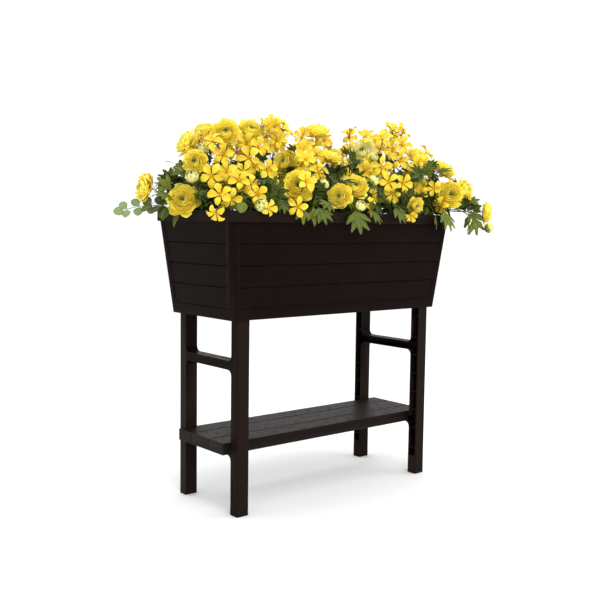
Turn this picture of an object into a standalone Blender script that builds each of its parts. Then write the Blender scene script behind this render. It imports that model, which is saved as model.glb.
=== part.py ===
"""Planted raised bed: a moulded trough on a four-legged stand with a shelf, planted with
yellow double blooms, sprays of small blossoms and cut-leaved foliage.

Metres, +Z up. The origin is on the ground under the middle of the stand, X runs along the
trough and -Y is its front. The resin pieces are made first, then the blooms are set out,
and the stems and leaves are grown last, bent and turned clear of all that stands already.
"""

import math
import random

import bmesh
import bpy
from mathutils import Matrix, Vector
from mathutils.bvhtree import BVHTree

# Trough
RIM_TOP = 0.762
RIM_HEIGHT = 0.027
RIM_OVERHANG = 0.006
TROUGH_BOTTOM = 0.494
TROUGH_HALF_BOTTOM = Vector((0.360, 0.1385))
TROUGH_HALF_TOP = Vector((0.3854, 0.1633))
TROUGH_WALL = 0.0065
CORNER_RADIUS = 0.006
POST_WIDTH = 0.018
POST_SLOPE = 0.008
PANEL_DEPTH = 0.0025
PLANK_PITCH = 0.0535
GROOVE_WIDTH = 0.0032
BASE_BAND = 0.027
FLOOR_BOTTOM = 0.509
FLOOR_TOP = 0.513
FLOOR_RIB = 0.0025
DRAIN_RADIUS = 0.005

# Stand
LEG_X_OUTER = 0.3403
LEG_Y_OUTER = 0.1332
LEG_X = 0.0355
LEG_Y = 0.0295
LEG_RADIUS = 0.003
FRAME_WALL = 0.003
FOOT_HEIGHT = 0.052
RIB_LEVELS = (0.075, 0.136, 0.190, 0.244, 0.299, 0.353, 0.405, 0.467)
RIB_THICKNESS = 0.0022
UPPER_BAR = (0.367, 0.390)
LOWER_BAR = (0.151, 0.174)
FILLET = 0.014

# Shelf
SHELF_HALF = Vector((0.3632, 0.1030))
SHELF_BOTTOM = 0.1554
SHELF_TOP = 0.1854
SHELF_SKIN = 0.004
SHELF_WALL = 0.003
SHELF_GROOVE_Y = 0.040

# Soil and plants
SOIL_TOP = 0.738
SOIL_SWELL = 0.006
CROWN_RADIUS = 0.007
CROWN_DEPTH = 0.030
CROWN_RISE = 0.012
CROWN_SIDES = 6
STEM_RADIUS = 0.0017
STEM_STRETCHES = 3
PEDICEL_RADIUS = 0.0011
PETIOLE_RADIUS = 0.0010
BLADE = 0.0008
BLOOM_BACK = 0.010
PETAL_SIDES = 5
RIM_CLEARANCE = 0.012
GAP = 0.0003
SEED = 7

DARK_RESIN = (0.020, 0.013, 0.009)
SHELF_RESIN = (0.030, 0.023, 0.018)
PEAT = (0.018, 0.011, 0.007)
YELLOW = (0.90, 0.60, 0.03)
GREEN = (0.055, 0.110, 0.025)
GREY_GREEN = (0.130, 0.190, 0.080)

# Double blooms: name, centre, radius, compass heading and tilt of the face in degrees.
BLOOMS = (
    ("top_left", (-0.256, 0.045, 0.966), 0.036, -127, 66),
    ("top_mid_left", (-0.148, 0.085, 0.982), 0.034, -105, 51),
    ("left_high", (-0.363, 0.065, 0.934), 0.034, 161, 58),
    ("back_high", (-0.278, 0.115, 0.974), 0.030, -155, 26),
    ("left_mid", (-0.369, 0.015, 0.884), 0.031, -141, 80),
    ("left_end", (-0.404, 0.018, 0.787), 0.038, -133, 76),
    ("left_far", (-0.442, 0.135, 0.819), 0.036, 166, 79),
    ("front_middle", (-0.150, -0.125, 0.828), 0.040, -130, 77),
    ("mid_behind", (-0.077, 0.018, 0.897), 0.036, -163, 68),
    ("top_flat", (0.076, 0.070, 0.992), 0.040, -73, 3),
    ("mid_flat", (0.057, -0.005, 0.916), 0.037, -66, 17),
    ("pale", (0.244, 0.050, 0.947), 0.037, -152, 63),
    ("front_small", (-0.023, -0.145, 0.806), 0.032, -146, 86),
    ("front_right_of_middle", (0.059, -0.115, 0.833), 0.035, -123, 59),
    ("right_top", (0.410, -0.017, 0.935), 0.038, -84, 35),
    ("right_edge", (0.432, -0.098, 0.896), 0.038, -42, 33),
    ("right_front", (0.398, -0.158, 0.822), 0.039, -124, 85),
    ("right_side", (0.484, -0.139, 0.836), 0.035, -72, 75),
    ("right_far", (0.508, -0.203, 0.772), 0.030, -55, 92),
    ("right_mid", (0.335, -0.090, 0.844), 0.032, -89, 92),
    ("front_low", (0.244, -0.165, 0.788), 0.023, -108, 110),
    ("rear_left", (-0.210, 0.162, 0.862), 0.036, 104, 66),
    ("rear_mid", (0.035, 0.165, 0.850), 0.037, 84, 70),
    ("rear_right", (0.270, 0.160, 0.866), 0.036, 72, 62),
    ("right_rear_end", (0.400, 0.100, 0.850), 0.035, 28, 64),
)

# Leafy plants: name, crown, blooms that they carry, buds (centre, radius), leaf count.
LEAFY = (
    ("left", (-0.335, 0.050), ("left_high", "back_high", "left_mid", "left_end", "left_far"),
     (((-0.331, 0.038, 0.917), 0.007), ((-0.402, -0.020, 0.846), 0.008)), 8),
    ("rear_left", (-0.205, 0.095), ("top_left", "top_mid_left", "rear_left"), (), 7),
    ("front_left", (-0.150, -0.095), ("front_middle", "mid_behind"),
     (((-0.303, -0.172, 0.777), 0.008), ((-0.060, -0.122, 0.836), 0.007)), 7),
    ("middle", (0.050, 0.075), ("top_flat", "mid_flat", "rear_mid"), (), 7),
    ("front", (0.030, -0.095), ("front_small", "front_right_of_middle"),
     (((0.104, -0.140, 0.852), 0.007), ((0.022, -0.178, 0.782), 0.007)), 7),
    ("rear_right", (0.235, 0.090), ("pale", "rear_right"),
     (((0.228, -0.015, 0.928), 0.006),), 7),
    ("right", (0.345, 0.000), ("right_top", "right_edge", "right_rear_end"), (), 7),
    ("front_right", (0.320, -0.105), ("right_mid", "right_front", "right_side", "right_far",
                                      "front_low"),
     (((0.504, -0.222, 0.727), 0.007),), 8),
)

# Blossom sprays: name, crown, blossoms (centre, radius, heading, tilt).
SPRAYS = (
    ("left_front", (-0.315, -0.085), (
        ((-0.380, -0.112, 0.797), 0.029, -130, 72), ((-0.318, -0.100, 0.834), 0.028, -118, 69),
        ((-0.418, -0.150, 0.757), 0.023, -147, 128), ((-0.296, -0.145, 0.802), 0.025, -118, 84))),
    ("left_middle", (-0.262, -0.020), (
        ((-0.232, -0.026, 0.898), 0.029, -130, 74), ((-0.203, -0.062, 0.868), 0.027, -113, 80),
        ((-0.304, -0.014, 0.903), 0.028, -141, 85), ((-0.365, -0.052, 0.848), 0.028, -135, 92))),
    ("upper_left", (-0.140, 0.020), (
        ((-0.178, 0.010, 0.928), 0.027, -113, 69), ((-0.092, 0.040, 0.956), 0.028, -118, 66),
        ((-0.073, 0.066, 1.000), 0.028, -98, 22), ((-0.082, -0.056, 0.920), 0.028, -130, 68))),
    ("front_middle", (-0.065, -0.060), (
        ((-0.040, -0.074, 0.868), 0.027, -97, 74), ((-0.196, -0.180, 0.775), 0.025, -130, 98))),
    ("upper_middle", (0.155, 0.010), (
        ((0.178, 0.040, 0.990), 0.027, -171, 12), ((0.293, 0.092, 1.000), 0.027, -130, 12),
        ((0.302, 0.028, 0.985), 0.028, -136, 60))),
    ("front_centre", (0.180, -0.080), (
        ((0.201, -0.072, 0.894), 0.029, -136, 79), ((0.168, -0.134, 0.850), 0.028, -130, 86),
        ((0.232, -0.124, 0.849), 0.027, -110, 86))),
    ("upper_right", (0.330, 0.075), (
        ((0.356, 0.040, 1.025), 0.030, -117, 28), ((0.320, -0.026, 0.922), 0.028, -118, 80),
        ((0.349, -0.008, 0.970), 0.028, -124, 74), ((0.481, 0.017, 0.953), 0.028, -60, 45))),
    ("rear_centre", (-0.075, 0.115), (
        ((-0.112, 0.160, 0.905), 0.028, 100, 60), ((-0.060, 0.172, 0.856), 0.027, 80, 78),
        ((-0.160, 0.150, 0.935), 0.027, 110, 50))),
    ("rear_right", (0.150, 0.110), (
        ((0.130, 0.160, 0.900), 0.028, 95, 62), ((0.172, 0.170, 0.848), 0.027, 88, 80),
        ((0.190, 0.140, 0.940), 0.027, 75, 48))),
)

# Leaves that show over the rim: plant, base, heading, droop in degrees, length, kind.
RIM_LEAVES = (
    ("left", (-0.402, 0.060, 0.776), -165, 38, 0.060, "long"),
    ("left", (-0.398, 0.000, 0.772), -160, 52, 0.062, "long"),
    ("left", (-0.396, 0.040, 0.770), -175, 62, 0.055, "long"),
    ("front_left", (-0.125, -0.176, 0.776), -95, 48, 0.058, "lobed"),
    ("front", (0.000, -0.178, 0.772), -98, 62, 0.072, "lobed"),
    ("front", (0.052, -0.176, 0.774), -70, 45, 0.055, "lobed"),
    ("front_right", (0.205, -0.178, 0.772), -100, 55, 0.052, "lobed"),
    ("front_right", (0.345, -0.178, 0.774), -85, 58, 0.068, "lobed"),
    ("front_right", (0.425, -0.185, 0.778), -60, 66, 0.062, "lobed"),
    ("front_right", (0.455, -0.190, 0.776), -45, 72, 0.075, "lobed"),
    ("rear_left", (-0.150, 0.180, 0.776), 96, 42, 0.062, "lobed"),
    ("middle", (0.075, 0.180, 0.774), 84, 48, 0.066, "lobed"),
    ("rear_right", (0.225, 0.180, 0.776), 92, 40, 0.060, "lobed"),
)

# Each kind of leaf as shares of its length: sections (along, width, rise, lobe before it),
# a lobe being (along, sideways, rise) of its point or None, and the rise of the tip.
LEAF_PLANS = {
    "long": (((0.20, 0.20, 0.03, None), (0.52, 0.36, 0.06, None)), -0.05),
    "round": (((0.30, 0.70, 0.05, None), (0.70, 0.78, 0.05, None)), 0.0),
    "trident": (((0.30, 0.20, 0.06, None), (0.60, 0.24, 0.07, (0.68, 0.44, 0.02))), -0.06),
    "lobed": (((0.24, 0.18, 0.06, None), (0.50, 0.24, 0.09, (0.52, 0.47, 0.02)),
               (0.74, 0.20, 0.06, (0.86, 0.40, -0.01))), -0.08),
}

# A trailing sprig of round leaves: name, crown, route after the crown.
SPRIG = ("sprig_left", (-0.345, 0.112), (
    (-0.368, 0.118, 0.780), (-0.405, 0.124, 0.776), (-0.437, 0.128, 0.774),
    (-0.470, 0.132, 0.770), (-0.503, 0.137, 0.762)))
SPRIG_LEAF = 0.024


def draws(name):
    """The random draws of one plant or bloom, the same on each run."""
    return random.Random(f"{name} {SEED}")


def clear_scene():
    for obj in list(bpy.data.objects):
        bpy.data.objects.remove(obj, do_unlink=True)


def new_collection(name, parent=None, hidden=False):
    made = bpy.data.collections.new(name)
    (parent or bpy.context.scene.collection).children.link(made)
    made.hide_render = hidden
    return made


def new_material(name, colour, roughness):
    material = bpy.data.materials.new(name)
    material.use_nodes = True
    shader = material.node_tree.nodes["Principled BSDF"]
    shader.inputs["Base Color"].default_value = (*colour, 1.0)
    shader.inputs["Roughness"].default_value = roughness
    shader.inputs["Metallic"].default_value = 0.0
    return material


def face_outward(bm):
    bm.normal_update()
    bmesh.ops.recalc_face_normals(bm, faces=bm.faces[:])
    if bm.calc_volume(signed=True) < 0:
        bmesh.ops.reverse_faces(bm, faces=bm.faces[:])


def object_from(bm, name, collection, material=None, matrix=None):
    mesh = bpy.data.meshes.new(name)
    face_outward(bm)
    bm.to_mesh(mesh)
    bm.free()
    obj = bpy.data.objects.new(name, mesh)
    if material:
        mesh.materials.append(material)
    if matrix:
        obj.matrix_world = matrix
    collection.objects.link(obj)
    if collection.hide_render:
        obj.hide_render = True
        obj.display_type = "WIRE"
    return obj


def block(low, high):
    """A cube primitive stretched between two corners."""
    bm = bmesh.new()
    bmesh.ops.create_cube(bm, size=1.0)
    low, high = Vector(low), Vector(high)
    for vert in bm.verts:
        vert.co = (low + high) / 2 + vert.co * (high - low)
    return bm


def tapered_block(low_z, low_half, high_z, high_half):
    """A cube primitive whose bottom and top are rectangles of different size."""
    bm = bmesh.new()
    bmesh.ops.create_cube(bm, size=2.0)
    for vert in bm.verts:
        half = high_half if vert.co.z > 0 else low_half
        vert.co.z = high_z if vert.co.z > 0 else low_z
        vert.co.x *= half[0]
        vert.co.y *= half[1]
    return bm


def round_edges(bm, wanted, radius, segments):
    """Bevels the edges that the test picks."""
    picked = [edge for edge in bm.edges if wanted(*(vert.co for vert in edge.verts))]
    bmesh.ops.bevel(
        bm, geom=picked, offset=radius, segments=segments, profile=0.5, affect="EDGES"
    )
    return bm


def upright(a, b):
    return abs(a.z - b.z) > 4 * abs(a.x - b.x) and abs(a.z - b.z) > 4 * abs(a.y - b.y)


def trough_half(z):
    """Half length and half depth of the trough's outside at a height."""
    share = (z - TROUGH_BOTTOM) / (RIM_TOP - RIM_HEIGHT - TROUGH_BOTTOM)
    return TROUGH_HALF_BOTTOM.lerp(TROUGH_HALF_TOP, share)


def shrink(half, by):
    return half - Vector((by, by))


def boolean(obj, collection, operation, solver="EXACT"):
    modifier = obj.modifiers.new(operation.title(), "BOOLEAN")
    modifier.operation = operation
    modifier.operand_type = "COLLECTION"
    modifier.collection = collection
    modifier.solver = solver
    return modifier


def apply_modifiers(obj):
    """Keeps the evaluated mesh as the object's own."""
    bpy.context.view_layer.update()
    graph = bpy.context.evaluated_depsgraph_get()
    mesh = bpy.data.meshes.new_from_object(obj.evaluated_get(graph))
    obj.modifiers.clear()
    obj.data = mesh


def fuse(obj, repeats, solver="MANIFOLD"):
    """Joins the collection's closed meshes to the object and removes them."""
    boolean(obj, repeats, "UNION", solver)
    apply_modifiers(obj)
    for helper in list(repeats.objects):
        bpy.data.objects.remove(helper, do_unlink=True)
    bpy.data.collections.remove(repeats)


def wall_frames():
    """For each wall of the trough: its outward direction, sideways direction, axis index."""
    for axis in (0, 1):
        for sign in (-1, 1):
            outward = Vector((0, 0, 0))
            outward[axis] = sign
            sideways = Vector((0, 0, 0))
            sideways[1 - axis] = 1
            yield outward, sideways, axis


def panel_cutter(outward, sideways, axis):
    """The shallow field between two corner posts, with sloping ends."""
    bm = bmesh.new()
    bmesh.ops.create_cube(bm, size=2.0)
    low_z = TROUGH_BOTTOM + BASE_BAND
    high_z = RIM_TOP - RIM_HEIGHT
    for vert in bm.verts:
        across, deep, up = vert.co
        z = high_z if up > 0 else low_z
        half = trough_half(z)
        reach = half[1 - axis] - POST_WIDTH
        if deep < 0:
            depth = half[axis] - PANEL_DEPTH
            reach -= POST_SLOPE
        else:
            depth = half[axis] + PANEL_DEPTH
            reach += POST_SLOPE
        vert.co = outward * depth + sideways * reach * across + Vector((0, 0, z))
    return bm


def groove_cutter(outward, sideways, axis, z):
    """A bar of square section, on edge, sunk half its diagonal into the wall."""
    half = trough_half(z)
    length = half[1 - axis] - POST_WIDTH - POST_SLOPE / 2
    bm = bmesh.new()
    bmesh.ops.create_cube(bm, size=2.0)
    side = GROOVE_WIDTH / math.sqrt(2) / 2 * 1.25
    place = outward * (half[axis] - PANEL_DEPTH) + Vector((0, 0, z))
    for vert in bm.verts:
        across, deep, up = vert.co
        turned = Vector((deep - up, deep + up)) * side / math.sqrt(2)
        vert.co = place + sideways * length * across + outward * turned.x + Vector((0, 0, turned.y))
    return bm


def make_trough(parts, cutters, material):
    """One moulding: flared walls, corner posts, planked panels, rim and raised floor."""
    rim_bottom = RIM_TOP - RIM_HEIGHT
    body = tapered_block(TROUGH_BOTTOM, TROUGH_HALF_BOTTOM, rim_bottom + 0.004,
                         trough_half(rim_bottom + 0.004))
    round_edges(body, upright, CORNER_RADIUS, 3)
    trough = object_from(body, "planter_box", parts, material)

    holes = new_collection("trough_cutters", cutters, hidden=True)
    for outward, sideways, axis in wall_frames():
        object_from(panel_cutter(outward, sideways, axis), "panel_cutter", holes)
        for step in range(1, 4):
            level = rim_bottom - step * PLANK_PITCH
            object_from(groove_cutter(outward, sideways, axis, level), "groove_cutter", holes)
    boolean(trough, holes, "DIFFERENCE")

    rim_parts = new_collection("rim_union", cutters, hidden=True)
    rim_half = TROUGH_HALF_TOP + Vector((RIM_OVERHANG, RIM_OVERHANG))
    rim = tapered_block(rim_bottom, rim_half, RIM_TOP, rim_half)
    round_edges(rim, upright, CORNER_RADIUS + 0.001, 3)
    object_from(rim, "rim_block", rim_parts)
    boolean(trough, rim_parts, "UNION")

    hollows = new_collection("trough_hollows", cutters, hidden=True)
    inner = tapered_block(FLOOR_TOP, shrink(trough_half(FLOOR_TOP), TROUGH_WALL), RIM_TOP + 0.01,
                          shrink(trough_half(RIM_TOP + 0.01), TROUGH_WALL))
    object_from(inner, "trough_inside", hollows)
    under = shrink(TROUGH_HALF_BOTTOM, TROUGH_WALL - 0.0025)
    object_from(tapered_block(TROUGH_BOTTOM - 0.01, under, FLOOR_BOTTOM, under), "underside",
                hollows)
    for x in (-0.26, -0.09, 0.09, 0.26):
        drain = bmesh.new()
        bmesh.ops.create_cone(drain, cap_ends=True, segments=8, radius1=DRAIN_RADIUS,
                              radius2=DRAIN_RADIUS, depth=0.02)
        place = Matrix.Translation((x, 0.03, FLOOR_BOTTOM))
        object_from(drain, "drain", hollows, matrix=place)
    boolean(trough, hollows, "DIFFERENCE")

    ribs = new_collection("floor_ribs", cutters, hidden=True)
    rib_low = TROUGH_BOTTOM + 0.003
    rib_high = FLOOR_BOTTOM + 0.002
    reach = TROUGH_HALF_BOTTOM.y - TROUGH_WALL + 0.004
    for x in (-0.298, -0.17, 0.0, 0.17, 0.298):
        rib = block((x - FLOOR_RIB / 2, -reach, rib_low), (x + FLOOR_RIB / 2, reach, rib_high))
        object_from(rib, "cross_rib", ribs)
    rib = block((-0.299, -FLOOR_RIB / 2, rib_low), (0.299, FLOOR_RIB / 2, rib_high))
    object_from(rib, "long_rib", ribs)
    boolean(trough, ribs, "UNION")
    apply_modifiers(trough)
    return trough


def window(x_low, x_high, grow, level):
    """An opening of the end frame, rounded where a crossbar meets a leg.

    level 0 is below the lower bar, 1 between the bars and 2 above the upper bar. A
    positive grow makes it larger all round, for the hollow inside the channel.
    """
    half_y = LEG_Y_OUTER - LEG_Y + grow
    low, high = (
        (-0.05, LOWER_BAR[0]), (LOWER_BAR[1], UPPER_BAR[0]), (UPPER_BAR[1], 0.60)
    )[level]
    bm = block((x_low, -half_y, low - grow), (x_high, half_y, high + grow))
    corner = high + grow if level < 2 else low - grow

    def at_corner(a, b):
        return abs(a.x - b.x) > 0.001 and abs(a.z - corner) < 1e-6 and abs(b.z - corner) < 1e-6

    return round_edges(bm, at_corner, FILLET + grow, 4)


def make_end_frame(name, side, parts, cutters, material):
    """Two legs and two crossbars in one moulding, open towards the middle as a ribbed channel."""
    top = FLOOR_BOTTOM - GAP
    inner_x = LEG_X_OUTER - LEG_X
    bm = block((inner_x, -LEG_Y_OUTER, 0), (LEG_X_OUTER, LEG_Y_OUTER, top))
    round_edges(bm, upright, LEG_RADIUS, 2)
    frame = object_from(bm, name, parts, material)

    windows = new_collection(name + "_windows", cutters, hidden=True)
    for level in range(3):
        bm = window(inner_x - 0.01, LEG_X_OUTER + 0.01, 0.0, level)
        object_from(bm, "frame_window", windows)
    boolean(frame, windows, "DIFFERENCE")

    channel = new_collection(name + "_channel", cutters, hidden=True)
    back_x = LEG_X_OUTER - FRAME_WALL
    bm = block((inner_x - 0.01, -LEG_Y_OUTER + FRAME_WALL, FOOT_HEIGHT),
               (back_x, LEG_Y_OUTER - FRAME_WALL, top - FRAME_WALL))
    hollow = object_from(bm, "channel_hollow", channel)
    cores = new_collection(name + "_channel_cores", cutters, hidden=True)
    for level in range(3):
        bm = window(inner_x - 0.02, back_x + 0.01, FRAME_WALL, level)
        object_from(bm, "channel_core", cores)
    boolean(hollow, cores, "DIFFERENCE")
    apply_modifiers(hollow)
    boolean(frame, channel, "DIFFERENCE")

    ribs = new_collection(name + "_ribs", cutters, hidden=True)
    for y_side in (-1, 1):
        mid_y = y_side * (LEG_Y_OUTER - LEG_Y / 2)
        half_y = LEG_Y / 2 - FRAME_WALL / 2
        for z in RIB_LEVELS:
            bm = block((inner_x + 0.002, mid_y - half_y, z - RIB_THICKNESS / 2),
                       (back_x + FRAME_WALL / 2, mid_y + half_y, z + RIB_THICKNESS / 2))
            object_from(bm, "leg_rib", ribs)
    boolean(frame, ribs, "UNION")
    apply_modifiers(frame)
    if side < 0:
        frame.data.transform(Matrix.Scale(-1, 4, (1, 0, 0)))
        frame.data.flip_normals()
    return frame


def make_shelf(parts, cutters, material):
    """A three-plank shelf: a thin shell, open below, that saddles both lower crossbars."""
    bm = block((-SHELF_HALF.x, -SHELF_HALF.y, SHELF_BOTTOM), (SHELF_HALF.x, SHELF_HALF.y, SHELF_TOP))
    round_edges(bm, upright, 0.003, 2)
    shelf = object_from(bm, "shelf", parts, material)

    hollow = new_collection("shelf_hollow", cutters, hidden=True)
    inside = shrink(SHELF_HALF, SHELF_WALL)
    bm = block((-inside.x, -inside.y, SHELF_BOTTOM - 0.01), (inside.x, inside.y, SHELF_TOP - SHELF_SKIN))
    object_from(bm, "shelf_inside", hollow)
    for side in (-1, 1):
        middle = side * (LEG_X_OUTER - LEG_X / 2)
        reach = LEG_X / 2 + 0.0015
        bm = block((middle - reach, -0.15, 0.10), (middle + reach, 0.15, LOWER_BAR[1] + GAP))
        object_from(bm, "saddle", hollow)
    boolean(shelf, hollow, "DIFFERENCE")

    ribs = new_collection("shelf_ribs", cutters, hidden=True)
    low, high = LOWER_BAR[1] + GAP, SHELF_TOP - SHELF_SKIN / 2
    for y in (-SHELF_GROOVE_Y, SHELF_GROOVE_Y):
        bm = block((-inside.x - 0.001, y - 0.004, low), (inside.x + 0.001, y + 0.004, high))
        object_from(bm, "long_rib", ribs)
    for x in (-0.24, -0.12, 0.0, 0.12, 0.24):
        bm = block((x - 0.00125, -inside.y - 0.001, low + 0.001), (x + 0.00125, inside.y + 0.001, high))
        object_from(bm, "cross_rib", ribs)
    boolean(shelf, ribs, "UNION")

    grooves = new_collection("shelf_grooves", cutters, hidden=True)
    for y in (-SHELF_GROOVE_Y, SHELF_GROOVE_Y):
        along = object_from(block((-0.4, -0.0016, -0.0016), (0.4, 0.0016, 0.0016)), "groove", grooves)
        along.matrix_world = Matrix.Translation((0, y, SHELF_TOP)) @ Matrix.Rotation(math.pi / 4, 4, "X")
        for side in (-1, 1):
            bm = block((-0.001, -0.001, -0.03), (0.001, 0.001, 0.03))
            down = object_from(bm, "end_groove", grooves)
            turn = Matrix.Rotation(math.pi / 4, 4, "Z")
            down.matrix_world = Matrix.Translation((side * SHELF_HALF.x, y, 0.172)) @ turn
    boolean(shelf, grooves, "DIFFERENCE")
    apply_modifiers(shelf)
    return shelf


def soil_height(x, y):
    """The soil's gentle swells."""
    return SOIL_TOP + SOIL_SWELL * math.sin(11 * x + 1.3) * math.cos(17 * y - 0.6)


def crown_prism(crown, radius, low, high):
    bm = bmesh.new()
    bmesh.ops.create_cone(bm, cap_ends=True, segments=CROWN_SIDES, radius1=radius, radius2=radius,
                          depth=high - low)
    bmesh.ops.translate(bm, vec=(crown[0], crown[1], (low + high) / 2), verts=bm.verts[:])
    return bm


def make_soil(parts, cutters, material):
    """The filling of the trough, with a plain hole for each plant's crown."""
    low_z = FLOOR_TOP + GAP
    low = shrink(trough_half(low_z), TROUGH_WALL + 0.0005)
    high = shrink(trough_half(SOIL_TOP), TROUGH_WALL + 0.0012)
    bm = tapered_block(low_z, low, SOIL_TOP, high)
    top = [face for face in bm.faces if face.normal.z > 0.9]
    long_edges = [e for f in top for e in f.edges if abs(e.verts[0].co.x - e.verts[1].co.x) > 0.1]
    bmesh.ops.subdivide_edges(bm, edges=long_edges, cuts=6, use_grid_fill=True)
    rows = [e for e in bm.edges if abs(e.verts[0].co.y - e.verts[1].co.y) > 0.2
            and min(v.co.z for v in e.verts) > SOIL_TOP - 1e-5]
    bmesh.ops.subdivide_edges(bm, edges=rows, cuts=2, use_grid_fill=True)
    for vert in bm.verts:
        inside = abs(vert.co.x) < high.x - 0.005 and abs(vert.co.y) < high.y - 0.005
        if vert.co.z > SOIL_TOP - 1e-4 and inside:
            vert.co.z = soil_height(vert.co.x, vert.co.y)
    soil = object_from(bm, "soil", parts, material)
    holes = new_collection("soil_holes", cutters, hidden=True)
    crowns = [plant[1] for plant in LEAFY] + [spray[1] for spray in SPRAYS] + [SPRIG[1]]
    for crown in crowns:
        floor = soil_height(*crown) - CROWN_DEPTH - GAP
        object_from(crown_prism(crown, CROWN_RADIUS + 0.0006, floor, 0.80), "crown_hole", holes)
    boolean(soil, holes, "DIFFERENCE")
    apply_modifiers(soil)
    return soil


def section(centre, across, width, up, thickness=BLADE):
    """Four corners of a blade's cross-section, anticlockwise seen from its tip."""
    side, rise = across * (width / 2), up * (thickness / 2)
    return [centre - side - rise, centre + side - rise, centre + side + rise, centre - side + rise]


def grow_blade(bm, root, sections, tip=None, cut_sides=()):
    """Lofts from four root vertices through the sections, split alike on both faces.

    The end closes at the tip point, or flat without one. cut_sides gives, for each
    stretch between sections, a lobe point on the left and on the right, or None.
    """
    near = root
    for index, corners in enumerate(sections):
        far = [bm.verts.new(corner) for corner in corners]
        lobes = cut_sides[index] if index < len(cut_sides) else None
        for k in range(4):
            n = (k + 1) % 4
            quad = (near[k], near[n], far[n], far[k])
            if lobes and k in (1, 3):
                point = bm.verts.new(lobes[1] if k == 1 else lobes[0])
                for a, b in zip(quad, quad[1:] + quad[:1]):
                    bm.faces.new((a, b, point))
            elif k == 2:
                bm.faces.new((quad[0], quad[1], quad[3]))
                bm.faces.new((quad[1], quad[2], quad[3]))
            else:
                bm.faces.new(quad[:3])
                bm.faces.new((quad[0], quad[2], quad[3]))
        near = far
    if tip is None:
        bm.faces.new((near[0], near[1], near[2]))
        bm.faces.new((near[0], near[2], near[3]))
    else:
        point = bm.verts.new(tip)
        for k in range(4):
            bm.faces.new((near[k], near[(k + 1) % 4], point))


def petal_sections(angle, profile):
    """Sections of a petal that runs outward at an angle round local +Z.

    profile holds (distance from the axis, height, width) and ends where the petal does.
    """
    out = Vector((math.cos(angle), math.sin(angle), 0))
    across = Vector((-math.sin(angle), math.cos(angle), 0))
    sections, last = [], (0.0, profile[0][1] - profile[0][0] * 0.3)
    for distance, height, width in profile:
        run = (out * (distance - last[0]) + Vector((0, 0, height - last[1]))).normalized()
        up = run.cross(across).normalized()
        centre = out * distance + Vector((0, 0, height))
        sections.append(section(centre, across, width, up))
        last = (distance, height)
    return sections


def rosette(sides, rings, whorls, top_height):
    """A many-sided heart whose side faces each grow into a petal.

    rings holds (radius, height) from the back up. For each tier of side faces, whorls has
    a turn, in steps of the sides, and a function that gives a petal's profile and tip.
    """
    bm = bmesh.new()
    step = 2 * math.pi / sides
    loops = []
    for radius, height in rings:
        loops.append([bm.verts.new((radius * math.cos(k * step), radius * math.sin(k * step), height))
                      for k in range(sides)])
    back = bm.verts.new((0, 0, rings[0][1]))
    front = bm.verts.new((0, 0, top_height))
    for k in range(sides):
        n = (k + 1) % sides
        bm.faces.new((back, loops[0][n], loops[0][k]))
        bm.faces.new((front, loops[-1][k], loops[-1][n]))
        for tier, (turn, profile_of) in enumerate(whorls):
            root = [loops[tier][k], loops[tier][n], loops[tier + 1][n], loops[tier + 1][k]]
            angle = (k + 0.5 + turn) * step
            profile, end = profile_of(k)
            tip = None
            if end:
                tip = Vector((end[0] * math.cos(angle), end[0] * math.sin(angle), end[1]))
            grow_blade(bm, root, petal_sections(angle, profile), tip)
    return bm


def leaf_on_stalk(points, way, length, kind, roll):
    """A stalk along the points and its blade, in one lofted piece."""
    bm = bmesh.new()
    across = way.cross(Vector((0, 0, 1)))
    across = across.normalized() if across.length > 1e-4 else Vector((1, 0, 0))
    up = across.cross(way).normalized()
    thick = PETIOLE_RADIUS * 1.6
    stalk = []
    for index, point in enumerate(points):
        ahead = points[min(index + 1, len(points) - 1)] - points[max(index - 1, 0)]
        ahead = ahead.normalized()
        level = (across - ahead * across.dot(ahead)).normalized()
        stalk.append(section(point, level, thick, level.cross(ahead).normalized(), thick))
    root = [bm.verts.new(corner) for corner in stalk[0]]
    bm.faces.new((root[2], root[1], root[0]))
    bm.faces.new((root[3], root[2], root[0]))
    sections = stalk[1:]
    lobes = [None] * len(sections)
    turn = Matrix.Rotation(roll, 3, way)
    across, up = turn @ across, turn @ up
    base = points[-1]

    def at(along, sideways, rise):
        return base + way * length * along + across * length * sideways + up * length * rise

    for along, width, rise, lobe in LEAF_PLANS[kind][0]:
        sections.append(section(at(along, 0, rise), across, width * length, up))
        lobes.append([at(lobe[0], side * lobe[1], lobe[2]) for side in (-1, 1)] if lobe else None)
    end = LEAF_PLANS[kind][1]
    grow_blade(bm, root, sections, at(1.0, 0, end), lobes)
    return bm


def facing(heading, tilt):
    """Unit direction with a compass heading and an angle from straight up, in degrees."""
    h, t = math.radians(heading), math.radians(tilt)
    return Vector((math.sin(t) * math.cos(h), math.sin(t) * math.sin(h), math.cos(t)))


def placed(point, direction, roll=0.0):
    """Matrix that stands local +Z along the direction at the point."""
    turn = Vector(direction).to_track_quat("Z", "Y").to_matrix().to_4x4()
    return Matrix.Translation(point) @ turn @ Matrix.Rotation(roll, 4, "Z")


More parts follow.
